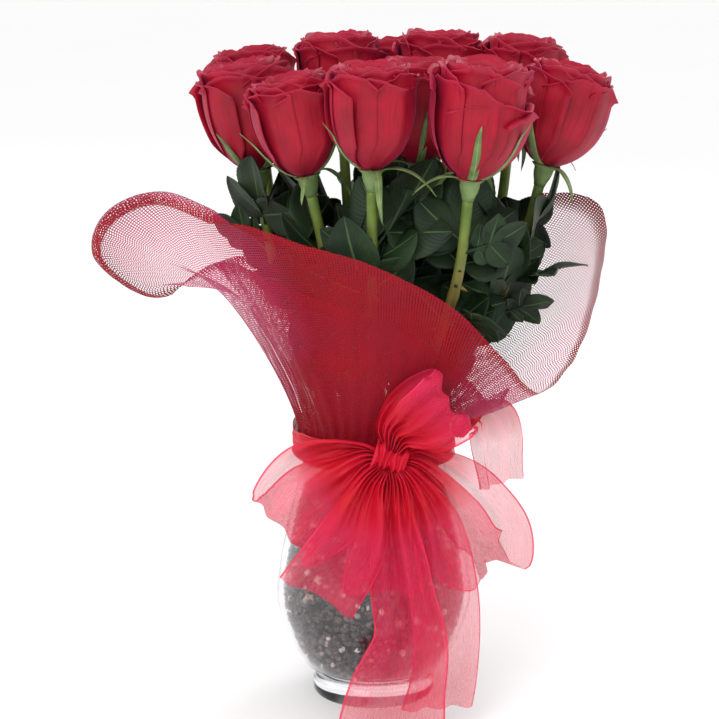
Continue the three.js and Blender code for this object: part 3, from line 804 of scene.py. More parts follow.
# %% Glass finish
glass_finish, tree, shader = new_material("clear_glass")
shader.inputs["Base Color"].default_value = (0.9, 0.915, 0.94, 1)
shader.inputs["Transmission Weight"].default_value = 1
shader.inputs["IOR"].default_value = 1.46
place = add_node(tree, "ShaderNodeTexCoord").outputs["Object"]
smears = add_node(tree, "ShaderNodeTexNoise", {"Vector": place, "Scale": 35.0, "Detail": 4.0}).outputs["Fac"]
dull = add_node(tree, "ShaderNodeMapRange", {0: smears, 1: 0.4, 2: 0.75, 3: 0.01, 4: 0.07}).outputs[0]
tree.links.new(dull, shader.inputs["Roughness"])
ripple = add_node(tree, "ShaderNodeTexNoise", {"Vector": place, "Scale": 14.0}).outputs["Fac"]
bump = add_node(tree, "ShaderNodeBump", {"Height": ripple, "Strength": 0.15, "Distance": 0.002})
tree.links.new(bump.outputs[0], shader.inputs["Normal"])
rays = add_node(tree, "ShaderNodeLightPath").outputs
passing = maths(tree, "MAXIMUM", rays["Is Shadow Ray"], rays["Is Diffuse Ray"])
clear = add_node(tree, "ShaderNodeBsdfTransparent", {"Color": (0.93, 0.95, 0.94, 1)}).outputs[0]
both = add_node(tree, "ShaderNodeMixShader", {0: passing, 1: shader.outputs[0], 2: clear})
tree.links.new(both.outputs[0], tree.nodes["Material Output"].inputs["Surface"])


# %% Build the vase
def lathe_profile(node):
    """The radii and heights of a turned CAD node's corners, from one half-plane."""
    places = corners(node)
    flat = [(float(np.hypot(x, y)), float(z)) for x, y, z in places if abs(x) < 1e-4 and y <= 1e-4]
    return sorted(set((round(r, 5), round(z, 5)) for r, z in flat), key=lambda p: p[1])


glass_points = lathe_profile("vase")
levels = sorted({z for _, z in glass_points})
floor_level = min(z for r, z in glass_points if r < 0.0002 and z > 0.001)
outer, inner = [], []
for z in levels:
    radii = sorted(r for r, height in glass_points if height == z)
    if radii[-1] > 0.0002:
        outer.append((radii[-1], z))
    if len(radii) > 1 and z > floor_level and radii[0] > 0.0002:
        inner.append((radii[0], z))
bowl = [(0.0, floor_level), (0.72 * inner[0][0], floor_level)] + inner
print("vase profile:", len(outer), "points outside,", len(inner), "inside, floor at", floor_level)

outline = [(0.0, 0.0)] + outer + inner[::-1] + [(0.72 * inner[0][0], floor_level), (0.0, floor_level)]
vase = add_piece("glass_vase", lathe(outline, 96), glass_finish, ["vase"])
print("vase faces:", len(vase.data.polygons))

# %% [markdown]
# ## Gravel
#
# Fine dark gravel fills the vase to three quarters, with scattered pale and rosy stones. Thousands
# of stones against the glass are needed, so one 20-sided pebble is copied many times, each turned,
# stretched and coloured by chance, round a dark core that closes the gaps between them.

# %% Gravel finish
stone_finish, tree, shader = new_material("gravel_stone")
tint = add_node(tree, "ShaderNodeAttribute", attribute_name="tint").outputs["Color"]
place = add_node(tree, "ShaderNodeTexCoord").outputs["Object"]
speck = add_node(tree, "ShaderNodeTexNoise", {"Vector": place, "Scale": 700.0, "Detail": 3.0}).outputs["Fac"]
lighter = add_node(tree, "ShaderNodeMapRange", {0: speck, 1: 0.45, 2: 0.75, 3: 0.0, 4: 0.35}).outputs[0]
speckled = mix_colours(tree, lighter, tint, colour(178, 160, 160))
tree.links.new(speckled, shader.inputs["Base Color"])
bump = add_node(tree, "ShaderNodeBump", {"Height": speck, "Strength": 0.5, "Distance": 0.0005})
tree.links.new(bump.outputs[0], shader.inputs["Normal"])
shader.inputs["Roughness"].default_value = 0.55

core_tones = colour(26, 20, 22), colour(52, 42, 44)
core_finish, tree, shader, patch = green_finish("gravel_core", *core_tones, 0.9, 260)

# %% Build the gravel
gravel_low, gravel_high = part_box("gravel")
bed_bottom, bed_top = gravel_low.z, gravel_high.z


def glass_inside(z):
    """The bowl's inner radius at a height."""
    return float(np.interp(z, [p[1] for p in bowl], [p[0] for p in bowl]))


stone_bm = bmesh.new()
bmesh.ops.create_icosphere(stone_bm, subdivisions=1, radius=1)
stone_mesh = bpy.data.meshes.new("pebble")
stone_bm.to_mesh(stone_mesh)
stone_bm.free()

dice = random.Random(5)
DARK = [(46, 38, 40), (62, 52, 54), (78, 62, 64), (36, 30, 32), (96, 74, 74), (70, 50, 46), (112, 96, 98)]
PALE = [(214, 196, 190), (232, 222, 216), (188, 140, 132), (170, 150, 146)]


def add_stone(bm, tints, place, radius, shade):
    """One pebble of chance shape at a place."""
    start = len(bm.verts)
    bm.from_mesh(stone_mesh)
    bm.verts.ensure_lookup_table()
    made = bm.verts[start:]
    angle = dice.uniform(0, 6.3)
    turn = Matrix.Rotation(angle, 4, Vector([dice.uniform(-1, 1) for _ in range(3)]).normalized())
    shape = Matrix.Diagonal([radius * dice.uniform(0.65, 1.25) for _ in range(3)] + [1])
    bmesh.ops.transform(bm, matrix=Matrix.Translation(place) @ turn @ shape, verts=made)
    for vert in made:
        vert[tints] = colour(*shade)


def gravel_piece(name, count, sizes, shades, outermost, batch=60):
    """Stones against the glass and over the top of the bed, made in batches to stay quick."""
    whole = bmesh.new()
    whole.verts.layers.float_color.new("tint")
    for first in range(0, count, batch):
        bm = bmesh.new()
        tints = bm.verts.layers.float_color.new("tint")
        for i in range(first, min(first + batch, count)):
            radius = dice.uniform(*sizes)
            angle = dice.uniform(0, 2 * math.pi)
            if i % 8 == 0:
                z = bed_top - radius * dice.uniform(0.1, 1.4)
                out = (glass_inside(z) - radius * 1.3) * math.sqrt(dice.random())
            else:
                z = dice.uniform(bed_bottom + radius * 1.3, bed_top - radius * 1.3)
                out = glass_inside(z) - radius * 1.3 - dice.uniform(0, outermost)
            place = Vector((out * math.cos(angle), out * math.sin(angle), z))
            add_stone(bm, tints, place, radius, dice.choice(shades))
        some = bpy.data.meshes.new("batch")
        bm.to_mesh(some)
        bm.free()
        whole.from_mesh(some)
        bpy.data.meshes.remove(some)
    return add_piece(name, whole, stone_finish, smooth=False)


small_stones = gravel_piece("gravel_stones", 7000, (0.0011, 0.0022), DARK, 0.002)
pale_stones = gravel_piece("pale_stones", 420, (0.0014, 0.0028), PALE, 0.0002)
print("stones:", len(small_stones.data.polygons) // 20, "dark,", len(pale_stones.data.polygons) // 20, "pale")

core_line = [(0.0, bed_bottom)]
core_line += [(glass_inside(z) - 0.0035, z) for z in np.linspace(bed_bottom, bed_top - 0.002, 24)]
core_line += [(0.0, bed_top - 0.002)]
add_piece("gravel_core", lathe(core_line, 72), core_finish, ["gravel"])

# %% [markdown]
# ## Mesh wrap
#
# The wrap is an open-weave net, crimson and stiff, gathered under the ribbon and flaring out round
# the stems. It is one fine grid between the same rings as the CAD wrap, pleated towards the neck.
# Real threads would need millions of faces, so the weave is a mask in the material: opaque threads
# and clear holes. Where the net is gathered it is several layers thick, so an attribute named
# gather, made with the shape, widens the threads there and paints them darker, a painted shade,
# while a single layer is painted pink, a painted light shining through it.
# Two more layers lie inside the front. The flat size printed for each sheet is unrolled from the lines
# that it was drawn on, because no cloth was cut and draped here.

# %% Mesh finish
def mesh_finish(name, pitch, thin, thick, thread, edge_colour, single_layer_lit):
    """An open weave whose threads widen with the sheet's gather attribute."""
    material, tree, shader = new_material(name)
    chart = add_node(tree, "ShaderNodeUVMap", uv_map="UVMap").outputs[0]
    gather = add_node(tree, "ShaderNodeAttribute", attribute_name="gather").outputs["Fac"]
    share = add_node(tree, "ShaderNodeMapRange", {0: gather, 3: thin, 4: thick}).outputs[0]
    pulled = add_node(tree, "ShaderNodeTexNoise", {"Vector": chart, "Scale": 26.0, "Detail": 2.0})
    pulled = pulled.outputs["Color"]
    slack = add_node(tree, "ShaderNodeVectorMath", {0: pulled, 1: (0.0024, 0.0024, 0)}, operation="MULTIPLY")
    bent = add_node(tree, "ShaderNodeVectorMath", {0: chart, 1: slack.outputs[0]}, operation="ADD").outputs[0]
    threads = {"Vector": bent, "Pitch": pitch, "Share": share}
    cloth = add_node(tree, "ShaderNodeGroup", threads, node_tree=weave)
    tree.links.new(cloth.outputs["Threads"], shader.inputs["Alpha"])
    place = add_node(tree, "ShaderNodeTexCoord").outputs["Object"]
    patch = add_node(tree, "ShaderNodeGroup", {"Vector": place, "Scale": 30.0}, node_tree=mottle)
    patch.inputs["First"].default_value = thread
    patch.inputs["Second"].default_value = edge_colour
    # Gathered net is painted darker crimson, a painted shade, and a single layer pink, a painted light
    # shining through it.
    layer_shade = maths(tree, "MULTIPLY", gather, 2.2, clamp=True)
    tree.links.new(mix_colours(tree, layer_shade, single_layer_lit, patch.outputs["Colour"]), shader.inputs["Base Color"])
    relief = {"Height": cloth.outputs["Height"], "Strength": 0.5, "Distance": 0.0003}
    bump = add_node(tree, "ShaderNodeBump", relief)
    tree.links.new(bump.outputs[0], shader.inputs["Normal"])
    shader.inputs["Roughness"].default_value = 0.65
    shader.inputs["Specular IOR Level"].default_value = 0.2
    return material


NET_PITCH, THIN, THICK = 0.0015, 0.29, 0.7
# The thread's crimson and its mottle, then the pink of a single layer, which is painted light.
net_tones = colour(158, 4, 24), colour(142, 8, 34), colour(198, 62, 110)
net_finish = mesh_finish("net_crimson", NET_PITCH, THIN, THICK, *net_tones)

# %% The wrap's rings
MM = 0.001
PITCH, RISE, TIE, WRAP_RADIUS = 53 * MM, 160 * MM, 167 * MM, 47.8 * MM
EDGE = [
    (2.66, 0.04, 0.66), (2.62, 0.45, 0.89), (2.04, 0.94, 0.91), (1.13, 1.51, 0.74), (0, 1.74, 0.62),
    (-1.06, 1.51, 0.65), (-1.81, 1.17, 0.62), (-2.38, 0.87, 0.57), (-2.94, 0.49, 0.6), (-3.25, 0.08, 0.76),
    (-2.98, -0.34, 0.94), (-2.3, -0.6, 1.02), (-1.55, -1.02, 0.95), (-0.83, -1.43, 0.85), (0.04, -1.74, 0.78),
    (0.83, -1.77, 0.64), (1.36, -1.51, 0.45), (1.81, -0.98, 0.28), (2.3, -0.45, 0.38),
]
MIDDLE = [
    (1.74, 0, 0.39), (1.62, 0.38, 0.45), (1.32, 0.68, 0.44), (0.79, 1.02, 0.39), (0, 1.21, 0.35),
    (-0.64, 1.09, 0.38), (-1.09, 0.87, 0.42), (-1.47, 0.64, 0.5), (-1.7, 0.34, 0.57), (-1.74, 0.04, 0.59),
    (-1.62, -0.3, 0.57), (-1.36, -0.6, 0.53), (-0.98, -0.94, 0.46), (-0.49, -1.17, 0.4), (0.04, -1.28, 0.35),
    (0.57, -1.28, 0.29), (0.94, -1.13, 0.23), (1.25, -0.83, 0.16), (1.55, -0.42, 0.25),
]
edge_ring = [Vector((x * PITCH, y * PITCH, TIE + z * RISE)) for x, y, z in EDGE]
middle_ring = [Vector((x * PITCH, y * PITCH, TIE + z * RISE)) for x, y, z in MIDDLE]


def wrap_lines(columns):
    """For each column round the wrap, the four points that its upward line runs through."""
    lines = []
    for i in range(columns + 1):
        share = (i / columns) % 1.0
        angle = share * 2 * math.pi
        low = Vector((WRAP_RADIUS * math.cos(angle), WRAP_RADIUS * math.sin(angle), TIE - 10.5 * MM))
        waist = Vector((low.x, low.y, TIE + 14.5 * MM))
        lines.append([low, waist, through(middle_ring, share, True), through(edge_ring, share, True)])
    return lines


# %% Build the wrap
def near(share, centre, spread):
    """1 at a share round the wrap, falling smoothly to 0 at spread away."""
    away = abs((share - centre + 0.5) % 1.0 - 0.5)
    return 0.5 + 0.5 * math.cos(math.pi * min(away / spread, 1))


def lay_threads(bm, net, columns, rows):
    """Gives a grid of net UVs in metres along its own surface, so that its threads stay evenly spaced."""
    wide, level = columns + 1, int(0.8 * rows)
    around, up = [0.0] * wide, [0.0] * len(net)
    for i in range(1, wide):
        around[i] = around[i - 1] + (net[level * wide + i].co - net[level * wide + i - 1].co).length
    for k in range(wide, len(net)):
        up[k] = up[k - wide] + (net[k].co - net[k - wide].co).length
    layer, order = bm.loops.layers.uv.active, {vert: k for k, vert in enumerate(net)}
    for face in bm.faces:
        for loop in face.loops:
            k = order[loop.vert]
            loop[layer].uv = (around[k % wide], up[k])


def net_sheet(name, columns, rows, offset, reach, pleats, seed, gathers, span=(0.0, 1.0), roll_rim=True):
    """A pleated sheet of net on the wrap's lines. offset moves it outwards and reach trims its top."""
    lines = wrap_lines(columns)
    closed = span == (0.0, 1.0)
    bm = new_bmesh()
    gather = bm.verts.layers.float.new("gather")

    def place(across, along):
        share = span[0] + (span[1] - span[0]) * across
        spot = (share % 1.0) * columns
        low, high = lines[int(spot) % columns], lines[(int(spot) + 1) % columns]
        line = [p.lerp(q, spot - int(spot)) for p, q in zip(low, high)]
        rise = along * reach(across)
        here = through(line, rise)
        up = (through(line, min(rise + 0.02, 1)) - through(line, max(rise - 0.02, 0))).normalized()
        around = Vector((-here.y, here.x, 0)).normalized()
        out = around.cross(up).normalized()
        fade = max(1 - rise / 0.72, 0) ** 1.5
        deep = 0.0006 + 0.0022 * min(rise / 0.34, 1) * fade
        fold = math.sin(2 * math.pi * pleats * share + 1.5 * wobble(7 * share, rise, seed))
        fold *= 0.65 + 0.35 * wobble(31 * share, 0.8 * rise, seed + 3)
        turn = 6.28 * share
        slack = 0.006 * rise * wobble(2.5 * math.cos(turn), 2.5 * math.sin(turn), rise * 2 + seed)
        if rise < 0.34:
            deep, slack = min(deep, 0.0008 + 0.003 * max(rise - 0.28, 0) / 0.06), slack * rise / 0.34
        deep *= 1 - 0.75 * near(share, 0.76, 0.2)
        spot = here + out * (offset + deep * fold + slack)
        lobe = near(share, 0.5, 0.17) if roll_rim else 0
        if lobe > 0 and rise > 0.88:
            turned = (rise - 0.88) / 0.12
            start = through(line, 0.88 + 0.1 * min(turned / 0.35, 1))
            bend = 1.3 * math.pi * max(turned - 0.35, 0) / 0.65
            rolled = start + up * (0.0042 * math.sin(bend)) + out * (0.0042 * (1 - math.cos(bend)))
            spot = spot.lerp(rolled + out * slack, min(lobe / 0.2, 1))
        return spot

    net = lay_grid(bm, columns, rows, place)
    lay_threads(bm, net, columns, rows)
    for i, vert in enumerate(net):
        across, along = (i % (columns + 1)) / columns, (i // (columns + 1)) / rows
        vert[gather] = gathers(span[0] + (span[1] - span[0]) * across, along)
    if closed:
        bmesh.ops.remove_doubles(bm, verts=net, dist=0.00001)
    return add_piece(name, bm, net_finish, ["mesh_wrap"])


def fan_cut(span=(0.0, 1.0), reach=lambda across: 1.0, steps=240):
    """The fan that the net's lines unroll to: its longest edge and its depth, and its area."""
    lines = wrap_lines(steps)
    ribs = []
    for k in range(steps + 1):
        across = k / steps
        line = lines[int((span[0] + (span[1] - span[0]) * across) * steps) % steps]
        ribs.append([through(line, reach(across) * row / 24) for row in range(25)])
    edges = [sum((q[row] - p[row]).length for p, q in zip(ribs, ribs[1:])) for row in range(25)]
    slants = [sum((q - p).length for p, q in zip(rib, rib[1:])) for rib in ribs]
    depth = sum(slants) / len(slants)
    area = sum((low + high) / 2 for low, high in zip(edges, edges[1:])) * depth / 24
    print("net cut:", round(max(edges), 3), "by", round(depth, 3), "area", round(area, 4))
    return (round(max(edges), 3), round(depth, 3)), round(area, 4)


def wrap_gather(share, along):
    """How many layers of net look through each other, as a share of the most."""
    hem = 0.7 * max(min((along - 0.955) / 0.02, 1), 0)
    neck = 0.9 * max(1 - along / 0.7, 0) ** 1.1
    front = 0.6 * near(share, 0.74, 0.2)
    lobe_rim = 0.5 * near(share, 0.5, 0.16) * max((along - 0.86) / 0.14, 0)
    return min(max(hem, neck + front, lobe_rim), 1.0)


def layer_gather(share, along):
    """The front layer's own hem and its closing towards the neck."""
    return min(0.32 + 0.6 * max(1 - along / 0.75, 0) + 0.7 * max(min((along - 0.955) / 0.02, 1), 0), 1.0)


wrap = net_sheet("net_wrap", 540, 60, 0.0006, lambda across: 1.0, 44, 3.0, wrap_gather)
flat, area = fan_cut()


def front_reach(across):
    """How high the front layer's free edge stands, as a share of the wrap's."""
    return 0.72 + 0.12 * math.sin(2.6 * across + 0.5)


def fold_reach(across):
    """The same for the innermost fold."""
    return 0.5 + 0.04 * math.sin(4 * across)


FRONT, FOLD = (0.55, 0.93), (0.6, 0.95)
front_layer = net_sheet(
    "net_front_layer", 260, 40, -0.0035, front_reach, 40, 8.0, layer_gather, FRONT, roll_rim=False
)
flat, area = fan_cut(FRONT, front_reach)
fold_layer = net_sheet(
    "net_fold_layer", 260, 30, -0.0065, fold_reach, 36, 15.0, layer_gather, FOLD, roll_rim=False
)
flat, area = fan_cut(FOLD, fold_reach)
print("net faces:", [len(piece.data.polygons) for piece in (wrap, front_layer, fold_layer)])

# %% [markdown]
# ## Ribbon bow
#
# The ribbon is sheer organza, 66 mm wide, with a denser woven edge. Pulled into the knot, its whole
# width is squeezed into about 10 mm, so it folds lengthwise. Each length of ribbon is a grid laid
# along a line close to its CAD piece's, and its cross-section is a row of folds. They take up most of
# the width that the squeeze leaves over, but not all, because deeper folds would look like pleats.
# More folded cloth lets less light through, so a gather attribute holds how many layers there are.

# %% Organza finish
organza_finish, tree, shader = new_material("organza_red")
chart = add_node(tree, "ShaderNodeUVMap", uv_map="UVMap").outputs[0]
layers = add_node(tree, "ShaderNodeAttribute", attribute_name="gather").outputs["Fac"]
threads = add_node(tree, "ShaderNodeMapping", {"Vector": chart, "Scale": (1500, 90, 1)}).outputs[0]
streak = add_node(tree, "ShaderNodeTexNoise", {"Vector": threads, "Scale": 1.0, "Detail": 3.0}).outputs["Fac"]
dense = add_node(tree, "ShaderNodeMapRange", {0: streak, 1: 0.3, 2: 0.7, 3: 0.54, 4: 0.42}).outputs[0]
open_share = maths(tree, "POWER", dense, layers)
across = add_node(tree, "ShaderNodeSeparateXYZ", {0: chart}).outputs[0]
from_middle = maths(tree, "ABSOLUTE", maths(tree, "SUBTRACT", across, 0.033))
near_edge = {0: from_middle, 1: 0.0312, 2: 0.0318, 3: 0.0, 4: 0.9}
selvage = add_node(tree, "ShaderNodeMapRange", near_edge).outputs[0]
solid = maths(tree, "MAXIMUM", maths(tree, "SUBTRACT", 1.0, open_share), selvage)
tree.links.new(solid, shader.inputs["Alpha"])
place = add_node(tree, "ShaderNodeTexCoord").outputs["Object"]
patch = add_node(tree, "ShaderNodeGroup", {"Vector": place, "Scale": 25.0}, node_tree=mottle)
patch.inputs["First"].default_value = colour(196, 6, 30)
patch.inputs["Second"].default_value = colour(214, 20, 56)
# Gathered layers are painted a deeper, darker red, a painted shade, and a single layer a paler pink, a
# painted light.
folded = maths(tree, "MULTIPLY", maths(tree, "SUBTRACT", layers, 1.0), 0.8, clamp=True)
sheer = mix_colours(tree, folded, colour(222, 34, 80), patch.outputs["Colour"])
tree.links.new(sheer, shader.inputs["Base Color"])
bump = add_node(tree, "ShaderNodeBump", {"Height": streak, "Strength": 0.25, "Distance": 0.0003})
tree.links.new(bump.outputs[0], shader.inputs["Normal"])
shader.inputs["Roughness"].default_value = 0.5
shader.inputs["Specular IOR Level"].default_value = 0.25
shader.inputs["Sheen Weight"].default_value = 0.15
shader.inputs["Sheen Roughness"].default_value = 0.3
shader.inputs["Sheen Tint"].default_value = colour(255, 150, 180)

# %% The lengths of ribbon
RIBBON, GATHERED, KNOT_RADIUS = 66.0, 10.0, 11.0
BAND_FRONT = 50.9
KNOT = Vector((8.6, -BAND_FRONT - 0.7 * KNOT_RADIUS - 0.6, 170.0))
LEAVE = KNOT_RADIUS + 3
DROP = KNOT.z - 0.5 - 0.3
HANG = max(61.3 + 3 + KNOT.y, 5)
FLARE = max(1.28 * 53 + KNOT.y, 0)
SIDE = Vector((BAND_FRONT + 1, 0, 167))

LENGTHS = {
    "bow_loop_left": {
        "points": [
            (-LEAVE, 3, 0), (-32, 5, -9), (-50, 9, -25), (-61, 9, -40), (-65, 2, -46), (-58, -5, -42),
            (-44, -6, -30), (-27, -5, -14), (-LEAVE, -3, -2),
        ],
        "across": (0.56, 0, -0.83),
        "widths": (1.0, 0.86, 0.8, 0.86, 1.0),
    },
    "bow_loop_right": {
        "points": [
            (LEAVE + 2, 4, 0), (33, 9, -14), (52, 18, -36), (65, 25, -58), (64, 23, -73), (50, 13, -66),
            (36, 3, -40), (LEAVE + 2, -1, -7),
        ],
        "across": (0.7, 0, 0.7),
        "widths": (1.0, 0.66, 0.72, 0.66, 1.0),
    },
    "bow_loop_upper": {
        "points": [
            (2, 0, LEAVE + 4), (12, -FLARE - 1, LEAVE + 14), (26, -FLARE - 11, LEAVE + 24),
            (36, -FLARE - 18, LEAVE + 28), (30, -FLARE - 22, LEAVE + 22), (16, -FLARE - 13, LEAVE + 10),
            (6, -FLARE, LEAVE + 3),
        ],
        "across": (-0.7, 0, 0.7),
        "widths": (1.0, 0.6, 0.7, 0.6, 1.0),
    },
    "bow_loop_side": {
        "from": SIDE,
        "points": [(0, 0, 1), (11, -4, 17), (21, -8, 15), (26, -10, -5), (28, -10, -27)],
        "across": (0.75, 0.6, 0.2),
        "widths": (1.0, 0.6, 0.55),
    },
    "tail_long_front": {
        "points": [
            (3, -6, -LEAVE), (4, -HANG - 6, -0.24 * DROP), (8, -HANG - 6, -0.47 * DROP),
            (13, -HANG - 7, -0.66 * DROP), (5, -HANG - 10, -0.86 * DROP), (1, -HANG - 21, -0.98 * DROP),
            (0, -HANG - 35, -DROP), (-1, -HANG - 57, -DROP),
        ],
        "across": (1, 0, 0),
        "widths": (1.0, 0.5, 0.66, 0.95, 1.05),
    },
    "tail_long_side": {
        "points": [
            (LEAVE, -6, -LEAVE), (25, -HANG + 1, -0.24 * DROP), (33, -HANG, -0.47 * DROP),
            (36, -HANG + 1, -0.66 * DROP), (33, -HANG, -0.83 * DROP), (28, -HANG - 1, -0.95 * DROP),
        ],
        "across": (1, 0.2, 0),
        "widths": (0.8, 0.56, 0.66, 0.64, 0.66),
    },
    "tail_short_front": {
        "points": [(-KNOT_RADIUS, -9, 1 - LEAVE), (-22, -HANG - 11, -46), (-44, -HANG - 9, -84)],
        "across": (0.76, 0, -0.65),
        "widths": (1.0, 0.66, 0.76),
    },
    "tail_short_back": {
        "points": [(-2, -1, -LEAVE), (-3, -HANG + 1, -48), (-4, -HANG, -84)],
        "across": (1, 0, 0),
        "widths": (0.8, 0.6, 0.74),
    },
}


# %% Build the ribbon
DEEPEST_FOLD = 0.0052


class Route:
    """A smooth line through points, measured along its length."""

    def __init__(self, points, start):
        self.points = [(Vector(p) + start) * MM for p in points]
        fine = [through(self.points, i / 240) for i in range(241)]
        steps = [(b - a).length for a, b in zip(fine, fine[1:])]
        self.length = sum(steps)
        self.marks = np.concatenate([[0], np.cumsum(steps)]) / self.length

    def at(self, share):
        return through(self.points, float(np.interp(share, self.marks, np.linspace(0, 1, 241))))

    def way(self, share):
        return (self.at(min(share + 0.004, 1)) - self.at(max(share - 0.004, 0))).normalized()


def widths_of(widths):
    """The folded width at a share along: ends given in gathered widths, the rest in full ones."""
    last = len(widths) - 1
    edge = [w * GATHERED if i == 0 or (w == 1.0 and i == last) else w * RIBBON for i, w in enumerate(widths)]
    places = [Vector((w, i * 30, 0)) for i, w in enumerate(edge)]
    return lambda share: through(places, share).x * MM


def build_ribbon(name, points, across, widths, folds=3, cut=0.0, floor=None, **more):
    """One length of ribbon with soft lengthwise folds, along the line of its CAD piece."""
    start = more.get("from", KNOT)
    inner = ([tuple(0.45 * c for c in points[0])] if Vector(points[0]).length > 6 else []) + list(points)
    closed = Vector(points[0]).length < 30 and Vector(points[-1]).length < 30
    if closed:
        inner.append(tuple(0.45 * c for c in points[-1]))
    route, width = Route(inner, start), widths_of(widths)
    seed = sum(map(ord, name)) % 50
    rows = max(int(route.length / 0.0014), 40)
    bm = new_bmesh()
    gather = bm.verts.layers.float.new("gather")

    def away(share):
        """How free the cloth is at a share along: 0 in the knot and 1 well outside it."""
        out = route.length * (min(share, 1 - share) if closed else share)
        return min(max(out - 0.004, 0) / 0.045, 1)

    def place(over, share):
        share = min(share * (1 - cut * over), 1.0)
        free = away(share)
        way = route.way(share)
        side = Vector(across)
        side = (side - way * side.dot(way)).normalized()
        face = way.cross(side)
        x = over - 0.5
        lap = 0.5 * (1 - free) ** 2
        tight = math.sin(2 * math.pi * (7 * over + 0.3 * wobble(4 * share, 3 * over, seed)))
        drift = 0.5 * wobble(1.5 * share, 0.5, seed)
        soft = math.sin(2 * math.pi * (folds * over + drift + 0.35 * wobble(2 * over, 1.3 * share, seed + 7)))
        billow = 0.006 * wobble(1.8 * over, 2.6 * share, seed + 11) * free
        spare = max((RIBBON * MM / max(width(share), 0.02)) ** 2 - 1, 0)
        deep = min(0.62 * width(share) / (2 * math.pi * folds) * math.sqrt(2 * spare), DEEPEST_FOLD)
        fold = 0.0028 * lap * 2 * tight + deep * soft * min(0.35 + free, 1) + billow
        spread = x + 0.05 * lap * tight
        spot = route.at(share) + side * (spread * width(share)) + face * fold
        if floor is not None:
            spot.z = max(spot.z, floor + 0.0006 * (1 + soft))
        return spot

    made = lay_grid(bm, 60, rows, place, size=(RIBBON * MM, route.length))
    for i, vert in enumerate(made):
        free = away(i // 61 / rows)
        vert[gather] = 1 + 3.2 * (1 - free) ** 1.2
    piece = add_piece(f"ribbon_{name}", bm, organza_finish, [name])
    return piece


EXTRAS = {
    "tail_long_front": {"floor": 0.0005, "folds": 2.5},
    "tail_long_side": {"folds": 2.5, "cut": 0.06, "floor": 0.0005},
    "tail_short_front": {"folds": 1.6, "cut": 0.02},
    "tail_short_back": {"folds": 1.6, "cut": 0.04},
}
for name, shape in LENGTHS.items():
    made = build_ribbon(name, **shape, **EXTRAS.get(name, {}))
    print(name, "faces", len(made.data.polygons))

# %% [markdown]
# The band round the neck is ribbon pulled tight, so it shows as a stack of soft creases. The knot is a
# short turn over the middle of the bow, with pleats that run round it. Both are rings, rolled from a
# grid and closed at the seam. They are simplified: as narrow strips they hold less cloth than the
# whole ribbon would, and the flat size printed for each is unrolled from its own shape.

# %% Build the band and the knot
def strip_cut(name, place, columns=40, rows=72):
    """The strip that a closed ring of ribbon unrolls to: its width and its length round."""
    lines = [[place(i / columns, j / rows) for i in range(columns + 1)] for j in range(rows)]
    wide = sum((q - p).length for line in lines for p, q in zip(line, line[1:])) / rows
    turns = [(lines[(j + 1) % rows][i] - lines[j][i]).length for j in range(rows) for i in range(columns + 1)]
    flat = (round(wide, 3), round(sum(turns) / (columns + 1), 3))
    print(name, "strip:", flat)
    return flat


def band_place(across, along):
    angle = along * 2 * math.pi
    x = 2 * across - 1
    drift = 4.2 * wobble(1.6 * math.cos(angle), 1.6 * math.sin(angle), 4.0)
    crease = math.sin(2 * math.pi * 3.5 * across + drift)
    crease *= 0.65 + 0.6 * wobble(4 * math.cos(angle), 4 * math.sin(angle), 5 * across)
    radius = 0.0501 + 0.0013 * crease + 0.0006 * wobble(5 * math.cos(angle), 5 * math.sin(angle), 8 * across)
    height = TIE + 0.0088 * x + 0.002 * wobble(2 * math.cos(angle), 2 * math.sin(angle), 1.0)
    return Vector((radius * math.cos(angle), radius * math.sin(angle), height))


bm = new_bmesh()
gather = bm.verts.layers.float.new("gather")
ring = lay_grid(bm, 36, 200, band_place, size=(RIBBON * MM, 0.316))
for vert in ring:
    vert[gather] = 3.2
bmesh.ops.remove_doubles(bm, verts=ring, dist=0.00001)
bmesh.ops.recalc_face_normals(bm, faces=bm.faces[:])
band = add_piece("ribbon_neck_band", bm, organza_finish, ["ribbon_band"])
strip_cut("band", band_place, rows=200)


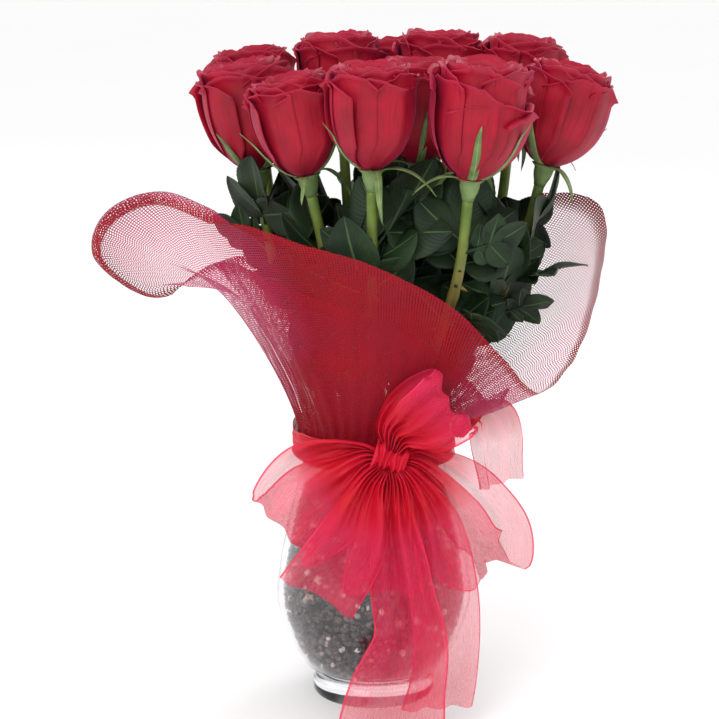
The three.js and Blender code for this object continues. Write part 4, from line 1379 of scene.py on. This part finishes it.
def knot_place(across, along):
    angle = along * 2 * math.pi
    x = 2 * across - 1
    pinch = 1 - 0.3 * math.cos(math.pi * x * 0.5) ** 2
    drift = 2.5 * wobble(math.cos(angle), math.sin(angle), 3 * across)
    crease = 0.0012 * math.sin(2 * math.pi * 5 * across + drift)
    radius = 1.04 * pinch * (1 + 0.22 * wobble(1.6 * math.cos(angle), 1.6 * math.sin(angle), 3 * across + 5))
    deep, tall = (0.0066 * radius + crease) * math.cos(angle), (0.0094 * radius + crease) * math.sin(angle)
    slant = 0.35 * tall
    return KNOT * MM + Vector((0.0102 * x + slant, -deep, tall - 0.0015 * x))


bm = new_bmesh()
gather = bm.verts.layers.float.new("gather")
ring = lay_grid(bm, 44, 72, knot_place, size=(RIBBON * MM, 0.06))
for vert in ring:
    vert[gather] = 3.4
bmesh.ops.remove_doubles(bm, verts=ring, dist=0.00001)
bmesh.ops.recalc_face_normals(bm, faces=bm.faces[:])
knot = add_piece("ribbon_knot", bm, organza_finish, ["bow_knot"])
strip_cut("knot", knot_place)
print("band faces:", len(band.data.polygons), "knot faces:", len(knot.data.polygons))

# %% [markdown]
# ## Floor
#
# The vase stands on a plain pale surface that reaches past the edges of every view.

# %% Floor
floor_finish, tree, shader = new_material("pale_table")
place = add_node(tree, "ShaderNodeTexCoord").outputs["Object"]
cloudy = add_node(tree, "ShaderNodeGroup", {"Vector": place, "Scale": 2.0}, node_tree=mottle)
cloudy.inputs["First"].default_value = (0.97, 0.97, 0.97, 1)
cloudy.inputs["Second"].default_value = (0.96, 0.96, 0.96, 1)
tree.links.new(cloudy.outputs["Colour"], shader.inputs["Base Color"])
shader.inputs["Roughness"].default_value = 0.7
bm = new_bmesh()
bmesh.ops.create_grid(bm, x_segments=1, y_segments=1, size=8)
mesh = bpy.data.meshes.new("floor")
bm.to_mesh(mesh)
bm.free()
mesh.materials.append(floor_finish)
floor = bpy.data.objects.new("floor", mesh)
floor.location.z = -0.0003
scene.collection.objects.link(floor)
